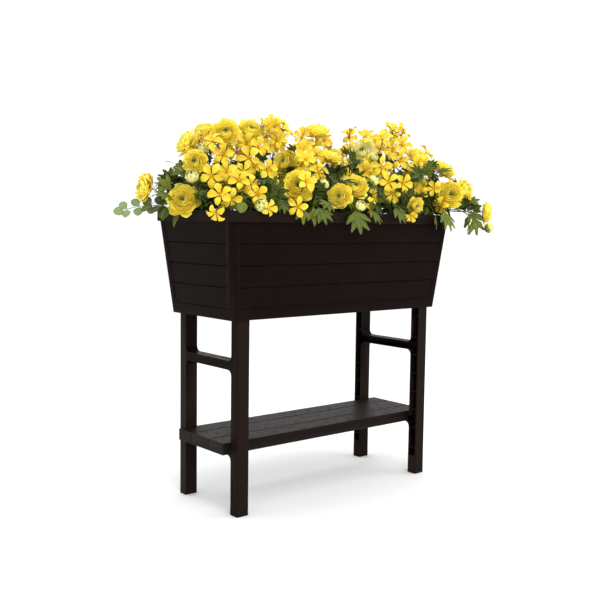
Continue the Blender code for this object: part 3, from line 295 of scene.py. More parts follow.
# Further leaves: plant, base, heading, droop, length, kind and tone (0 light to 1 dark).
SIDE_LEAVES = (
    ("left", (-0.435, 0.020, 0.812), 180, -35, 0.050, "trident", 0.15),
    ("left", (-0.425, 0.050, 0.822), 195, -12, 0.050, "lobed", 0.10),
    ("left", (-0.418, 0.075, 0.806), 185, 10, 0.046, "lobed", 0.35),
    ("left", (-0.447, 0.000, 0.794), 190, -5, 0.050, "lobed", 0.45),
    ("left", (-0.451, 0.050, 0.772), 190, 30, 0.030, "round", 0.80),
    ("left", (-0.446, 0.030, 0.767), 200, 50, 0.032, "round", 0.90),
    ("left", (-0.459, 0.080, 0.774), 180, 30, 0.030, "round", 0.70),
    ("left", (-0.413, -0.000, 0.858), 185, -20, 0.030, "long", 0.30),
    ("left", (-0.353, 0.080, 0.800), 170, -65, 0.055, "long", 0.40),
    ("front_left", (-0.352, -0.165, 0.782), 215, 55, 0.030, "round", 0.10),
    ("front_left", (-0.237, -0.170, 0.783), -110, 50, 0.034, "trident", 0.60),
    ("front_left", (-0.181, -0.175, 0.776), -100, 70, 0.048, "trident", 0.30),
    ("front", (-0.144, -0.178, 0.775), -100, 75, 0.050, "trident", 0.20),
    ("front", (-0.080, -0.170, 0.786), -150, 15, 0.050, "lobed", 0.50),
    ("front_right", (0.143, -0.178, 0.784), -60, 50, 0.060, "lobed", 0.40),
    ("front_right", (0.307, -0.180, 0.767), -90, 75, 0.050, "trident", 0.40),
    ("front_right", (0.337, -0.180, 0.765), -80, 80, 0.048, "long", 0.30),
    ("front_right", (0.427, -0.200, 0.781), -100, 82, 0.078, "lobed", 0.50),
    ("front_right", (0.435, -0.200, 0.799), -40, -20, 0.034, "trident", 0.50),
    # From here on, leaves set deep among the flowers to close the gaps; their dark tones are painted
    # shade of the planting's depth.
    ("front_left", (-0.247, -0.100, 0.840), -100, 10, 0.058, "lobed", 1.00),
    ("front_left", (-0.243, -0.120, 0.815), -60, 20, 0.058, "lobed", 1.00),
    ("front_left", (-0.269, -0.130, 0.794), -130, 25, 0.055, "lobed", 0.90),
    ("front_left", (-0.239, -0.140, 0.790), -80, 30, 0.050, "lobed", 0.90),
    ("front", (0.132, -0.130, 0.822), -110, 20, 0.058, "lobed", 0.95),
    ("front_right", (0.149, -0.145, 0.800), -80, 25, 0.056, "lobed", 0.90),
    ("front", (0.098, -0.150, 0.791), -120, 30, 0.052, "lobed", 1.00),
    ("front_right", (0.197, -0.120, 0.822), -50, 10, 0.055, "lobed", 1.00),
    ("front", (-0.024, -0.090, 0.855), -120, 0, 0.056, "lobed", 0.95),
    ("front", (0.010, -0.100, 0.845), -80, 0, 0.056, "trident", 0.90),
    ("rear_right", (0.173, 0.020, 0.890), -100, -60, 0.050, "trident", 0.25),
    ("right", (0.359, -0.100, 0.842), -100, 20, 0.055, "lobed", 0.90),
    ("front_right", (0.392, -0.150, 0.776), -120, 15, 0.050, "lobed", 0.85),
    ("front_right", (0.240, -0.150, 0.776), -110, 15, 0.050, "lobed", 0.90),
    ("front_left", (-0.352, -0.130, 0.776), -120, 15, 0.040, "lobed", 0.95),
    ("front_right", (0.344, -0.130, 0.806), -80, 30, 0.055, "lobed", 0.90),
    ("right", (0.312, -0.120, 0.817), -130, 15, 0.050, "lobed", 1.00),
    ("front_left", (-0.340, -0.060, 0.813), -120, 0, 0.052, "lobed", 0.90),
    ("left", (-0.357, -0.010, 0.799), -140, 0, 0.050, "lobed", 0.95),
    ("front_left", (-0.326, -0.100, 0.781), -110, 10, 0.045, "lobed", 0.90),
    ("left", (-0.361, -0.030, 0.781), -130, 10, 0.045, "lobed", 0.90),
    ("rear_left", (-0.089, 0.145, 0.927), -70, 20, 0.056, "lobed", 0.90),
    ("right", (0.386, 0.107, 0.936), -84, 13, 0.056, "lobed", 0.90),
    ("rear_left", (-0.236, 0.141, 0.897), -132, 1, 0.056, "lobed", 0.80),
    ("right", (0.450, 0.100, 0.900), -134, -3, 0.056, "lobed", 0.90),
    ("rear_right", (0.180, 0.148, 0.899), -91, 5, 0.056, "lobed", 1.00),
    ("right", (0.448, -0.012, 0.888), -84, 5, 0.056, "lobed", 0.90),
    ("rear_right", (0.345, 0.126, 0.943), -74, 16, 0.056, "lobed", 0.80),
    ("left", (-0.354, 0.090, 0.840), -160, 0, 0.056, "lobed", 0.40),
    ("rear_left", (-0.156, 0.127, 0.935), -78, 7, 0.056, "lobed", 0.90),
    ("rear_right", (0.175, 0.107, 0.889), -72, 5, 0.056, "lobed", 0.90),
)

SPRIG_CROWN = (-0.345, 0.112)
SPRIG_ROUTE = ((-0.368, 0.118, 0.780), (-0.405, 0.124, 0.776), (-0.437, 0.128, 0.774),
               (-0.470, 0.132, 0.770), (-0.503, 0.137, 0.762))

# Leaflets of each kind of leaf as shares of its length: root (along, aside), tip, width.
LEAFLETS = {
    LeafKind.LONG: (((0.0, 0.0), (1.0, 0.0), 0.38),),
    LeafKind.ROUND: (((0.0, 0.0), (1.0, 0.0), 0.92),),
    LeafKind.TRIDENT: (((0.02, 0.0), (1.0, 0.0), 0.36), ((0.20, 0.02), (0.72, 0.42), 0.28),
                       ((0.20, -0.02), (0.72, -0.42), 0.28)),
    LeafKind.LOBED: (((0.04, 0.0), (1.0, 0.0), 0.29), ((0.34, 0.02), (0.88, 0.36), 0.22),
                     ((0.34, -0.02), (0.88, -0.36), 0.22), ((0.10, 0.01), (0.56, 0.49), 0.23),
                     ((0.10, -0.01), (0.56, -0.49), 0.23)),
}


def draws(name: str) -> random.Random:
    """The random draws of one plant or bloom, seeded by its node's name.

    Args:
        name: Name of the node.

    Returns:
        A seeded source of random numbers.
    """
    return random.Random(f"{name} {SEED}")


def facing(heading: float, tilt: float) -> Vector:
    """Unit direction from a compass heading and an angle from straight up.

    Args:
        heading: Degrees from +X, anticlockwise seen from above.
        tilt: Degrees from +Z.

    Returns:
        The direction.
    """
    h, t = math.radians(heading), math.radians(tilt)
    return Vector((math.sin(t) * math.cos(h), math.sin(t) * math.sin(h), math.cos(t)))


def placed(point: Vector, direction: Vector, roll: float = 0.0) -> Matrix:
    """Matrix that stands local +Z along a direction.

    Args:
        point: Where the local origin goes.
        direction: Where local +Z points.
        roll: Turn about local +Z in radians.

    Returns:
        The matrix.
    """
    turn = Vector(direction).to_track_quat("Z", "Y").to_matrix().to_4x4()
    return Matrix.Translation(point) @ turn @ Matrix.Rotation(roll, 4, "Z")


def soil_height(x: float, y: float) -> float:
    """Height of the soil's gentle swells at a place."""
    return SOIL_TOP + SOIL_SWELL * math.sin(11 * x + 1.3) * math.cos(17 * y - 0.6)


def bezier(points: Sequence[Vector], t: float) -> Vector:
    """A point on the quadratic curve of three points."""
    u = 1 - t
    return points[0] * u * u + points[1] * 2 * u * t + points[2] * t * t


def rounded(u: float, v: float, start: float) -> tuple[float, float]:
    """Bends a blade's square end into a round one.

    Args:
        u: Share along the blade.
        v: Share across it, -1 to 1.
        start: Where along the blade its end begins to round.

    Returns:
        The new share along and the share of the half width.
    """
    s = max(0.0, (u - start) / (1 - start))
    if s == 0.0:
        return u, v
    return start + (1 - start) * s * math.sqrt(1 - v * v / 2), v * math.sqrt(1 - s * s / 2)


def arc_points(start: Vector, start_way: Vector, end: Vector, end_way: Vector, count: int,
               reach: float = 0.35) -> list[Vector]:
    """Points on a smooth curve that leaves and arrives along given directions.

    Args:
        start: First point.
        start_way: Direction at the first point.
        end: Last point.
        end_way: Direction at the last point.
        count: Number of stretches.
        reach: Length of the curve's handles as a share of the span.

    Returns:
        The points, ends among them.
    """
    span = (end - start).length * reach
    a, b, c, d = start, start + start_way * span, end - end_way * span, end
    points = []
    for index in range(count + 1):
        t = index / count
        u = 1 - t
        points.append(a * u**3 + b * 3 * u * u * t + c * 3 * u * t * t + d * t**3)
    return points


class ShaderGraph:
    """A material's or group's node tree with short calls to fill it."""

    def __init__(self, tree: bpy.types.NodeTree) -> None:
        """Keeps the tree."""
        self.tree = tree

    def node(self, kind: str, **settings: object) -> bpy.types.Node:
        """Adds a node.

        Args:
            kind: Blender's name of the node type.
            **settings: Properties of the node to set.

        Returns:
            The node.
        """
        made = self.tree.nodes.new(kind)
        for key, value in settings.items():
            setattr(made, key, value)
        return made

    def link(self, out: bpy.types.NodeSocket, into: bpy.types.NodeSocket) -> None:
        """Joins two sockets."""
        self.tree.links.new(out, into)

    def math(self, operation: str, first: object, second: object = 0.0,
             clamp: bool = False) -> bpy.types.NodeSocket:
        """A Math node on sockets or numbers.

        Args:
            operation: Name of the operation.
            first: Socket or number.
            second: Socket or number.
            clamp: Whether the result is held in 0..1.

        Returns:
            The output socket.
        """
        made = self.node("ShaderNodeMath", operation=operation, use_clamp=clamp)
        for socket, given in zip(made.inputs, (first, second)):
            if isinstance(given, bpy.types.NodeSocket):
                self.link(given, socket)
            else:
                socket.default_value = given
        return made.outputs[0]

    def mix(self, share: object, first: object, second: object,
            blend: str = "MIX") -> bpy.types.NodeSocket:
        """A colour mix of sockets or colours.

        Args:
            share: Socket or number, 0 for the first colour.
            first: Socket or RGB colour.
            second: Socket or RGB colour.
            blend: Blend mode.

        Returns:
            The colour output.
        """
        made = self.node("ShaderNodeMix", data_type="RGBA", blend_type=blend)
        for socket, given in ((made.inputs["Factor"], share), (made.inputs[6], first),
                              (made.inputs[7], second)):
            if isinstance(given, bpy.types.NodeSocket):
                self.link(given, socket)
            elif isinstance(given, tuple):
                socket.default_value = (*given, 1.0)
            else:
                socket.default_value = given
        return made.outputs[2]

    def span(self, value: bpy.types.NodeSocket, low: float, high: float, start: float = 0.0,
             end: float = 1.0) -> bpy.types.NodeSocket:
        """A clamped Map Range from low..high to start..end."""
        made = self.node("ShaderNodeMapRange", interpolation_type="SMOOTHSTEP")
        self.link(value, made.inputs["Value"])
        for name, number in (("From Min", low), ("From Max", high), ("To Min", start),
                             ("To Max", end)):
            made.inputs[name].default_value = number
        return made.outputs["Result"]

    def noise(self, scale: float, detail: float = 2.0, roughness: float = 0.5,
              vector: bpy.types.NodeSocket | None = None) -> bpy.types.NodeSocket:
        """Noise on Object coordinates, or on the given vector."""
        if vector is None:
            vector = self.node("ShaderNodeTexCoord").outputs["Object"]
        made = self.node("ShaderNodeTexNoise")
        self.link(vector, made.inputs["Vector"])
        made.inputs["Scale"].default_value = scale
        made.inputs["Detail"].default_value = detail
        made.inputs["Roughness"].default_value = roughness
        return made.outputs["Fac"]


class SharedEffects:
    """Shader node groups that several materials use, each built once."""

    def __init__(self) -> None:
        """Builds the groups."""
        self.grain = self._grain()
        self.speckle = self._speckle()
        self.growth = self._growth()

    @staticmethod
    def _new(name: str, inputs: dict[str, float], outputs: dict[str, str]) -> tuple[
            bpy.types.NodeTree, ShaderGraph, bpy.types.Node, bpy.types.Node]:
        """An empty group with float inputs and the given outputs.

        Args:
            name: Name of the group.
            inputs: Default of each float input.
            outputs: Socket type of each output.

        Returns:
            The group, its graph, its input node and its output node.
        """
        group = bpy.data.node_groups.new(name, "ShaderNodeTree")
        for key, default in inputs.items():
            socket = group.interface.new_socket(key, in_out="INPUT", socket_type="NodeSocketFloat")
            socket.default_value = default
        for key, kind in outputs.items():
            group.interface.new_socket(key, in_out="OUTPUT", socket_type=kind)
        graph = ShaderGraph(group)
        return group, graph, graph.node("NodeGroupInput"), graph.node("NodeGroupOutput")

    def _grain(self) -> bpy.types.NodeTree:
        """Fine surface grain as a height, from two sizes of noise."""
        group, graph, given, out = self._new(
            "fine_grain", {"Scale": 400.0, "Coarse": 0.5}, {"Height": "NodeSocketFloat"})
        coords = graph.node("ShaderNodeTexCoord").outputs["Object"]
        fine, coarse = graph.node("ShaderNodeTexNoise"), graph.node("ShaderNodeTexNoise")
        for item, factor in ((fine, 1.0), (coarse, 0.2)):
            graph.link(coords, item.inputs["Vector"])
            graph.link(graph.math("MULTIPLY", given.outputs["Scale"], factor), item.inputs["Scale"])
            item.inputs["Detail"].default_value = 3.0
        weighted = graph.math("MULTIPLY", coarse.outputs["Fac"], given.outputs["Coarse"])
        graph.link(graph.math("ADD", fine.outputs["Fac"], weighted), out.inputs["Height"])
        return group

    def _speckle(self) -> bpy.types.NodeTree:
        """Soft patches in 0..1, for dust and uneven colour."""
        group, graph, given, out = self._new(
            "soft_patches", {"Scale": 12.0, "Low": 0.4, "High": 0.7}, {"Mask": "NodeSocketFloat"})
        coords = graph.node("ShaderNodeTexCoord").outputs["Object"]
        patches = graph.node("ShaderNodeTexNoise")
        graph.link(coords, patches.inputs["Vector"])
        graph.link(given.outputs["Scale"], patches.inputs["Scale"])
        patches.inputs["Detail"].default_value = 6.0
        ramp = graph.node("ShaderNodeMapRange", interpolation_type="SMOOTHSTEP")
        graph.link(patches.outputs["Fac"], ramp.inputs["Value"])
        graph.link(given.outputs["Low"], ramp.inputs["From Min"])
        graph.link(given.outputs["High"], ramp.inputs["From Max"])
        graph.link(ramp.outputs["Result"], out.inputs["Mask"])
        return group

    def _growth(self) -> bpy.types.NodeTree:
        """Reads the growth attribute: along, aside, chance and age of a petal or leaf.

        Aside is 0 on the midrib and 1 at the edge. Veins is 1 on the ribs that fan out.
        """
        group, graph, given, out = self._new(
            "growth", {"Veins": 9.0, "Slant": 3.0},
            {"Along": "NodeSocketFloat", "Aside": "NodeSocketFloat", "Chance": "NodeSocketFloat",
             "Age": "NodeSocketFloat", "Veins": "NodeSocketFloat"})
        attribute = graph.node("ShaderNodeAttribute", attribute_name="growth")
        split = graph.node("ShaderNodeSeparateColor")
        graph.link(attribute.outputs["Color"], split.inputs["Color"])
        along = split.outputs["Red"]
        centred = graph.math("SUBTRACT", split.outputs["Green"], 0.5)
        aside = graph.math("ABSOLUTE", graph.math("MULTIPLY", centred, 2.0))
        slanted = graph.math("MULTIPLY", aside, given.outputs["Slant"])
        steps = graph.math("SUBTRACT", graph.math("MULTIPLY", along, given.outputs["Veins"]), slanted)
        wave = graph.math("PINGPONG", steps, 0.5)
        side_veins = graph.span(wave, 0.10, 0.0)
        midrib = graph.span(aside, 0.14, 0.02)
        graph.link(along, out.inputs["Along"])
        graph.link(aside, out.inputs["Aside"])
        graph.link(split.outputs["Blue"], out.inputs["Chance"])
        graph.link(attribute.outputs["Alpha"], out.inputs["Age"])
        graph.link(graph.math("MAXIMUM", side_veins, midrib), out.inputs["Veins"])
        return group


@dataclass(frozen=True)
class Finish:
    """A finish that makes one Principled material."""

    name: str
    roughness: float = 0.5

    def start(self) -> tuple[bpy.types.Material, ShaderGraph, bpy.types.Node]:
        """An empty Principled material.

        Returns:
            The material, its graph and its shader node.
        """
        material = bpy.data.materials.new(self.name)
        material.use_nodes = True
        graph = ShaderGraph(material.node_tree)
        shader = material.node_tree.nodes["Principled BSDF"]
        shader.inputs["Roughness"].default_value = self.roughness
        shader.inputs["Metallic"].default_value = 0.0
        return material, graph, shader

    @staticmethod
    def bump(graph: ShaderGraph, shader: bpy.types.Node, height: bpy.types.NodeSocket,
             distance: float, strength: float = 1.0) -> None:
        """Feeds a height through a Bump node to the shader's normal."""
        made = graph.node("ShaderNodeBump")
        made.inputs["Distance"].default_value = distance
        made.inputs["Strength"].default_value = strength
        graph.link(height, made.inputs["Height"])
        graph.link(made.outputs["Normal"], shader.inputs["Normal"])

    @staticmethod
    def group(graph: ShaderGraph, tree: bpy.types.NodeTree, **values: float) -> bpy.types.Node:
        """Places a shared group with its own values."""
        made = graph.node("ShaderNodeGroup", node_tree=tree)
        for key, value in values.items():
            made.inputs[key].default_value = value
        return made


@dataclass(frozen=True)
class ResinFinish(Finish):
    """Moulded dark resin: satin skin with a fine grain, a painted highlight along its edges and a little
    dust.
    """

    colour: tuple[float, float, float] = (0.0052, 0.0025, 0.0018)
    # Colour of the painted highlight that the sharp edges get.
    edge: tuple[float, float, float] = (0.022, 0.014, 0.011)
    dust: tuple[float, float, float] = (0.036, 0.027, 0.022)
    dust_share: float = 0.08
    grain: float = 0.00006
    shine: float = 0.025

    def material(self, effects: SharedEffects) -> bpy.types.Material:
        """Builds the material from the shared effects."""
        material, graph, shader = self.start()
        patches = self.group(graph, effects.speckle, Scale=9.0, Low=0.45, High=0.75)
        tinted = graph.mix(patches.outputs["Mask"], self.colour, tuple(c * 1.35 for c in self.colour))
        # Painted highlight: where the surface turns sharply (pointiness) the colour moves towards the
        # edge colour, as if the edge caught the light.
        pointed = graph.node("ShaderNodeNewGeometry").outputs["Pointiness"]
        edges = graph.math("MULTIPLY", graph.span(pointed, 0.515, 0.60), 0.75)
        lit = graph.mix(edges, tinted, self.edge)
        normal = graph.node("ShaderNodeNewGeometry").outputs["Normal"]
        axes = graph.node("ShaderNodeSeparateXYZ")
        graph.link(normal, axes.inputs["Vector"])
        settled = graph.span(axes.outputs["Z"], 0.3, 0.95)
        fine = self.group(graph, effects.speckle, Scale=60.0, Low=0.35, High=0.80)
        dusty = graph.math("MULTIPLY", graph.math("MULTIPLY", settled, fine.outputs["Mask"]),
                           self.dust_share * 4)
        hint = graph.math("MULTIPLY", fine.outputs["Mask"], self.dust_share * 0.3)
        colour = graph.mix(graph.math("MAXIMUM", dusty, hint, clamp=True), lit, self.dust)
        graph.link(colour, shader.inputs["Base Color"])
        rough = graph.span(fine.outputs["Mask"], 0.0, 1.0, self.roughness - 0.05, self.roughness + 0.10)
        graph.link(rough, shader.inputs["Roughness"])
        shader.inputs["Specular IOR Level"].default_value = self.shine
        skin = self.group(graph, effects.grain, Scale=700.0, Coarse=0.8)
        self.bump(graph, shader, skin.outputs["Height"], self.grain, 0.55)
        return material


@dataclass(frozen=True)
class SoilFinish(Finish):
    """Crumbly potting soil with paler bits of bark."""

    colour: tuple[float, float, float] = (0.016, 0.010, 0.006)
    bark: tuple[float, float, float] = (0.075, 0.045, 0.026)

    def material(self, effects: SharedEffects) -> bpy.types.Material:
        """Builds the material from the shared effects."""
        material, graph, shader = self.start()
        bits = self.group(graph, effects.speckle, Scale=170.0, Low=0.55, High=0.66)
        damp = self.group(graph, effects.speckle, Scale=25.0, Low=0.35, High=0.75)
        dark = graph.mix(damp.outputs["Mask"], self.colour, tuple(c * 2.0 for c in self.colour))
        graph.link(graph.mix(bits.outputs["Mask"], dark, self.bark), shader.inputs["Base Color"])
        crumbs = self.group(graph, effects.grain, Scale=420.0, Coarse=1.5)
        self.bump(graph, shader, crumbs.outputs["Height"], 0.0018)
        return material


@dataclass(frozen=True)
class PetalFinish(Finish):
    """A soft petal: golden at its root and paler at its edge, each partly its own colour and partly
    painted light (painted shade in the crevices, painted highlight on the rims), clear yellow between,
    with fine streaks.
    """

    # Root colour: partly the petal's own gold, partly painted shade for the crevices where petals crowd.
    # Edge colour: partly its own paler rim, partly painted highlight.
    root: tuple[float, float, float] = (0.99, 0.62, 0.024)
    middle: tuple[float, float, float] = (0.99, 0.80, 0.062)
    edge: tuple[float, float, float] = (0.99, 0.88, 0.190)
    heart: tuple[float, float, float] = (0.62, 0.66, 0.16)
    eye: tuple[float, float, float] = (0.10, 0.05, 0.015)
    root_span: tuple[float, float] = (0.15, 0.70)
    glow: float = 0.34

    def material(self, effects: SharedEffects) -> bpy.types.Material:
        """Builds the material from the shared effects."""
        material, graph, shader = self.start()
        growth = self.group(graph, effects.growth, Veins=0.0, Slant=7.0)
        along, aside = growth.outputs["Along"], growth.outputs["Aside"]
        # Partly own colour, partly painted shade: golden towards the root, where the crevices between
        # petals lie.
        body = graph.mix(graph.span(along, *self.root_span), self.root, self.middle)
        # Partly own colour, partly painted highlight: paler tips and rims.
        rim = graph.math("MAXIMUM", graph.span(along, 0.72, 1.0), graph.span(aside, 0.75, 1.0))
        body = graph.mix(graph.math("MULTIPLY", rim, 0.60), body, self.edge)
        shade = graph.span(growth.outputs["Chance"], 0.0, 1.0, 0.90, 1.06)
        tone = graph.node("ShaderNodeCombineColor")
        for socket in tone.inputs:
            graph.link(shade, socket)
        body = graph.mix(1.0, body, tone.outputs["Color"], "MULTIPLY")
        veins = graph.math("MULTIPLY", growth.outputs["Veins"], 0.10)
        body = graph.mix(veins, body, self.root)
        age = growth.outputs["Age"]
        body = graph.mix(graph.span(age, 0.62, 0.84), body, self.heart)
        body = graph.mix(graph.span(age, 0.90, 0.97), body, self.eye)
        graph.link(body, shader.inputs["Base Color"])
        shader.inputs["Subsurface Weight"].default_value = self.glow
        shader.inputs["Subsurface Radius"].default_value = (0.010, 0.006, 0.001)
        shader.inputs["Specular IOR Level"].default_value = 0.3
        streaks = graph.math("ADD", growth.outputs["Veins"], graph.noise(260.0, 3.0))
        self.bump(graph, shader, streaks, 0.00025, 0.5)
        return material


@dataclass(frozen=True)
class LeafFinish(Finish):
    """A leaf or stem: green with paler ribs, a darker middle and uneven patches."""

    young: tuple[float, float, float] = (0.140, 0.165, 0.020)
    old: tuple[float, float, float] = (0.018, 0.044, 0.007)
    rib: tuple[float, float, float] = (0.200, 0.235, 0.060)

    def material(self, effects: SharedEffects) -> bpy.types.Material:
        """Builds the material from the shared effects."""
        material, graph, shader = self.start()
        growth = self.group(graph, effects.growth, Veins=7.0, Slant=2.4)
        patches = self.group(graph, effects.speckle, Scale=55.0, Low=0.3, High=0.8)
        age = graph.math("ADD", growth.outputs["Age"],
                         graph.math("MULTIPLY", patches.outputs["Mask"], 0.25))
        chance = graph.math("MULTIPLY", growth.outputs["Chance"], 0.3)
        share = graph.math("SUBTRACT", graph.math("ADD", age, chance), 0.25, clamp=True)
        body = graph.mix(share, self.young, self.old)
        ribs = graph.math("MULTIPLY", growth.outputs["Veins"], 0.55)
        graph.link(graph.mix(ribs, body, self.rib), shader.inputs["Base Color"])
        shader.inputs["Subsurface Weight"].default_value = 0.08
        shader.inputs["Subsurface Radius"].default_value = (0.001, 0.003, 0.001)
        shader.inputs["Specular IOR Level"].default_value = 0.12
        height = graph.math("SUBTRACT", graph.noise(320.0, 3.0), growth.outputs["Veins"])
        self.bump(graph, shader, height, 0.0003, 0.6)
        return material


@dataclass(frozen=True)
class FloorFinish(Finish):
    """The pale floor."""

    colour: tuple[float, float, float] = (0.95, 0.95, 0.95)

    def material(self) -> bpy.types.Material:
        """Builds the plain material."""
        material, _, shader = self.start()
        shader.inputs["Base Color"].default_value = (*self.colour, 1.0)
        shader.inputs["Specular IOR Level"].default_value = 0.1
        return material


@dataclass
class Palette:
    """Every material of the object, made once."""

    effects: SharedEffects = field(default_factory=SharedEffects)

    def __post_init__(self) -> None:
        """Makes the materials."""
        # Both resins carry a painted highlight along their edges, in their edge colour.
        self.resin = ResinFinish("dark_resin", 0.40).material(self.effects)
        self.shelf = ResinFinish("shelf_resin", 0.46, colour=(0.0052, 0.0026, 0.0019),
                                 edge=(0.024, 0.017, 0.014), dust_share=0.10, shine=0.055
                                 ).material(self.effects)
        self.soil = SoilFinish("potting_soil", 0.95).material(self.effects)
        self.petal = PetalFinish("double_bloom_petal", 0.55).material(self.effects)
        self.pale = PetalFinish("pale_bloom_petal", 0.55, root=(0.99, 0.84, 0.26),
                                middle=(0.99, 0.91, 0.40), edge=(0.99, 0.95, 0.54)
                                ).material(self.effects)
        # The blossoms' golden lower parts are partly painted shade.
        self.blossom = PetalFinish("blossom_petal", 0.50, root=(0.86, 0.48, 0.012),
                                   middle=(0.88, 0.62, 0.026), edge=(0.91, 0.71, 0.085),
                                   root_span=(0.00, 0.42), glow=0.35).material(self.effects)
        self.bud = PetalFinish("bud_petal", 0.50, root=(0.52, 0.56, 0.11),
                               middle=(0.78, 0.76, 0.24), edge=(0.90, 0.86, 0.42)
                               ).material(self.effects)
        self.leaf = LeafFinish("garden_leaf", 0.55).material(self.effects)
        self.sprig = LeafFinish("round_leaf", 0.60, young=(0.240, 0.320, 0.130),
                                old=(0.018, 0.052, 0.018), rib=(0.240, 0.320, 0.140)
                                ).material(self.effects)


@lru_cache(maxsize=None)
def sheet_pattern(along: int, across: int) -> bpy.types.Mesh:
    """A unit grid that blades are bent from.

    Args:
        along: Number of faces along X.
        across: Number of faces along Y.

    Returns:
        The mesh, from -1 to 1 both ways.
    """
    bm = bmesh.new()
    bmesh.ops.create_grid(bm, x_segments=along, y_segments=across, size=1.0)
    return pattern_from(bm)


@lru_cache(maxsize=None)
def ball_pattern(detail: int) -> bpy.types.Mesh:
    """A ball of radius 1 that crumbs, stamens and buds are made from."""
    bm = bmesh.new()
    bmesh.ops.create_icosphere(bm, subdivisions=detail, radius=1.0)
    return pattern_from(bm)


def pattern_from(bm: bmesh.types.BMesh) -> bpy.types.Mesh:
    """Keeps a bmesh as a mesh to copy."""
    mesh = bpy.data.meshes.new("pattern")
    bm.to_mesh(mesh)
    bm.free()
    return mesh


class GrowingMesh:
    """A bmesh whose vertices carry the growth attribute, filled from other meshes."""

    def __init__(self) -> None:
        """Starts the mesh and its growth layer."""
        self.bm = bmesh.new()
        self.growth = self.bm.verts.layers.float_color.new("growth")

    def append(self, mesh: bpy.types.Mesh, material: int) -> list[bmesh.types.BMVert]:
        """Copies a mesh in.

        Args:
            mesh: The mesh.
            material: Slot number for its faces.

        Returns:
            The new vertices.
        """
        verts, faces = len(self.bm.verts), len(self.bm.faces)
        self.bm.from_mesh(mesh)
        self.bm.verts.ensure_lookup_table()
        self.bm.faces.ensure_lookup_table()
        for face in self.bm.faces[faces:]:
            face.material_index = material
            face.smooth = True
        return self.bm.verts[verts:]


class PlantMesh:
    """Petals, leaflets and stems of one piece: open blades and closed bodies."""

    def __init__(self, thickness: float = 0.0004) -> None:
        """Starts both meshes.

        Args:
            thickness: Thickness of the blades.
        """
        self.thickness = thickness
        self.blades = GrowingMesh()
        self.bodies = GrowingMesh()
        self.materials: list[bpy.types.Material] = []

    def slot_of(self, material: bpy.types.Material) -> int:
        """Slot number of a material, added when new."""
        if material not in self.materials:
            self.materials.append(material)
        return self.materials.index(material)

    def patch(self, along: int, across: int, place: BladePlace, material: bpy.types.Material,
              chance: float, age: float) -> None:
        """Adds a thin blade bent from a grid.

        Args:
            along: Number of faces along the blade.
            across: Number of faces across it.
            place: Gives the point at u (0 at the root, 1 at the tip) and v (-1..1 across).
            material: Material of the blade.
            chance: Random share kept for the material.
            age: 0 for the outermost or youngest, up to 1.
        """
        layer = self.blades.growth
        for vert in self.blades.append(sheet_pattern(along, across), self.slot_of(material)):
            u, v = vert.co.x * 0.5 + 0.5, vert.co.y
            vert[layer] = (u, v * 0.5 + 0.5, chance, age)
            vert.co = place(u, v)

    def tube(self, points: Sequence[Vector], radius: float, material: bpy.types.Material,
             taper: float = 1.0, sides: int = 3, steps: int = 4, age: float = 0.35) -> None:
        """Adds a smooth stem through the points.

        Args:
            points: Points that the stem passes.
            radius: Radius at its start.
            material: Material of the stem.
            taper: Radius at the end as a share of the start.
            sides: Roundness of the section.
            steps: Stretches between two points.
            age: Age for the material.
        """
        curve = bpy.data.curves.new("stem", "CURVE")
        curve.dimensions = "3D"
        curve.bevel_depth = radius
        curve.bevel_resolution = sides - 2
        curve.resolution_u = steps
        curve.use_fill_caps = True
        spline = curve.splines.new("BEZIER")
        spline.bezier_points.add(len(points) - 1)
        for index, point in enumerate(points):
            knot = spline.bezier_points[index]
            knot.co = point
            knot.radius = 1.0 + (taper - 1.0) * index / (len(points) - 1)
            knot.handle_left_type = knot.handle_right_type = "AUTO"
        guide = bpy.data.objects.new("stem", curve)
        bm = bmesh.new()
        bm.from_mesh(guide.to_mesh())
        guide.to_mesh_clear()
        bpy.data.objects.remove(guide, do_unlink=True)
        bpy.data.curves.remove(curve)
        bmesh.ops.remove_doubles(bm, verts=bm.verts[:], dist=1e-6)
        stem = pattern_from(bm)
        for vert in self.bodies.append(stem, self.slot_of(material)):
            vert[self.bodies.growth] = (0.5, 0.9, 0.5, age)
        bpy.data.meshes.remove(stem)

    def ball(self, centre: Vector, radius: float, material: bpy.types.Material, age: float,
             detail: int = 1, squash: Vector = Vector((1.0, 1.0, 1.0))) -> None:
        """Adds a small round body, such as a crumb, an anther or a bud's heart.

        Args:
            centre: Its middle.
            radius: Its radius.
            material: Its material.
            age: Age for the material.
            detail: Fineness of the ball.
            squash: Stretch along each axis.
        """
        for vert in self.bodies.append(ball_pattern(detail), self.slot_of(material)):
            vert[self.bodies.growth] = (0.5, 0.5, 0.5, age)
            vert.co = centre + vert.co * squash * radius

    def finish(self, name: str, slot: str, *nodes: str) -> bpy.types.Object:
        """Gives the blades their thickness and makes the object that stands for its nodes.

        Args:
            name: Name of the piece.
            slot: Material slot of the record.
            *nodes: Nodes that it replaces.

        Returns:
            The object.
        """
        bmesh.ops.solidify(self.blades.bm, geom=self.blades.bm.faces[:], thickness=self.thickness)
        for face in self.blades.bm.faces:
            face.smooth = True
        blades = pattern_from(self.blades.bm)
        bm = self.bodies.bm
        bm.from_mesh(blades)
        bpy.data.meshes.remove(blades)
        bmesh.ops.recalc_face_normals(bm, faces=bm.faces[:])
        mesh = bpy.data.meshes.new(name)
        bm.to_mesh(mesh)
        bm.free()
        for material in self.materials:
            mesh.materials.append(material)
        return mount(mesh, name, slot, *nodes)


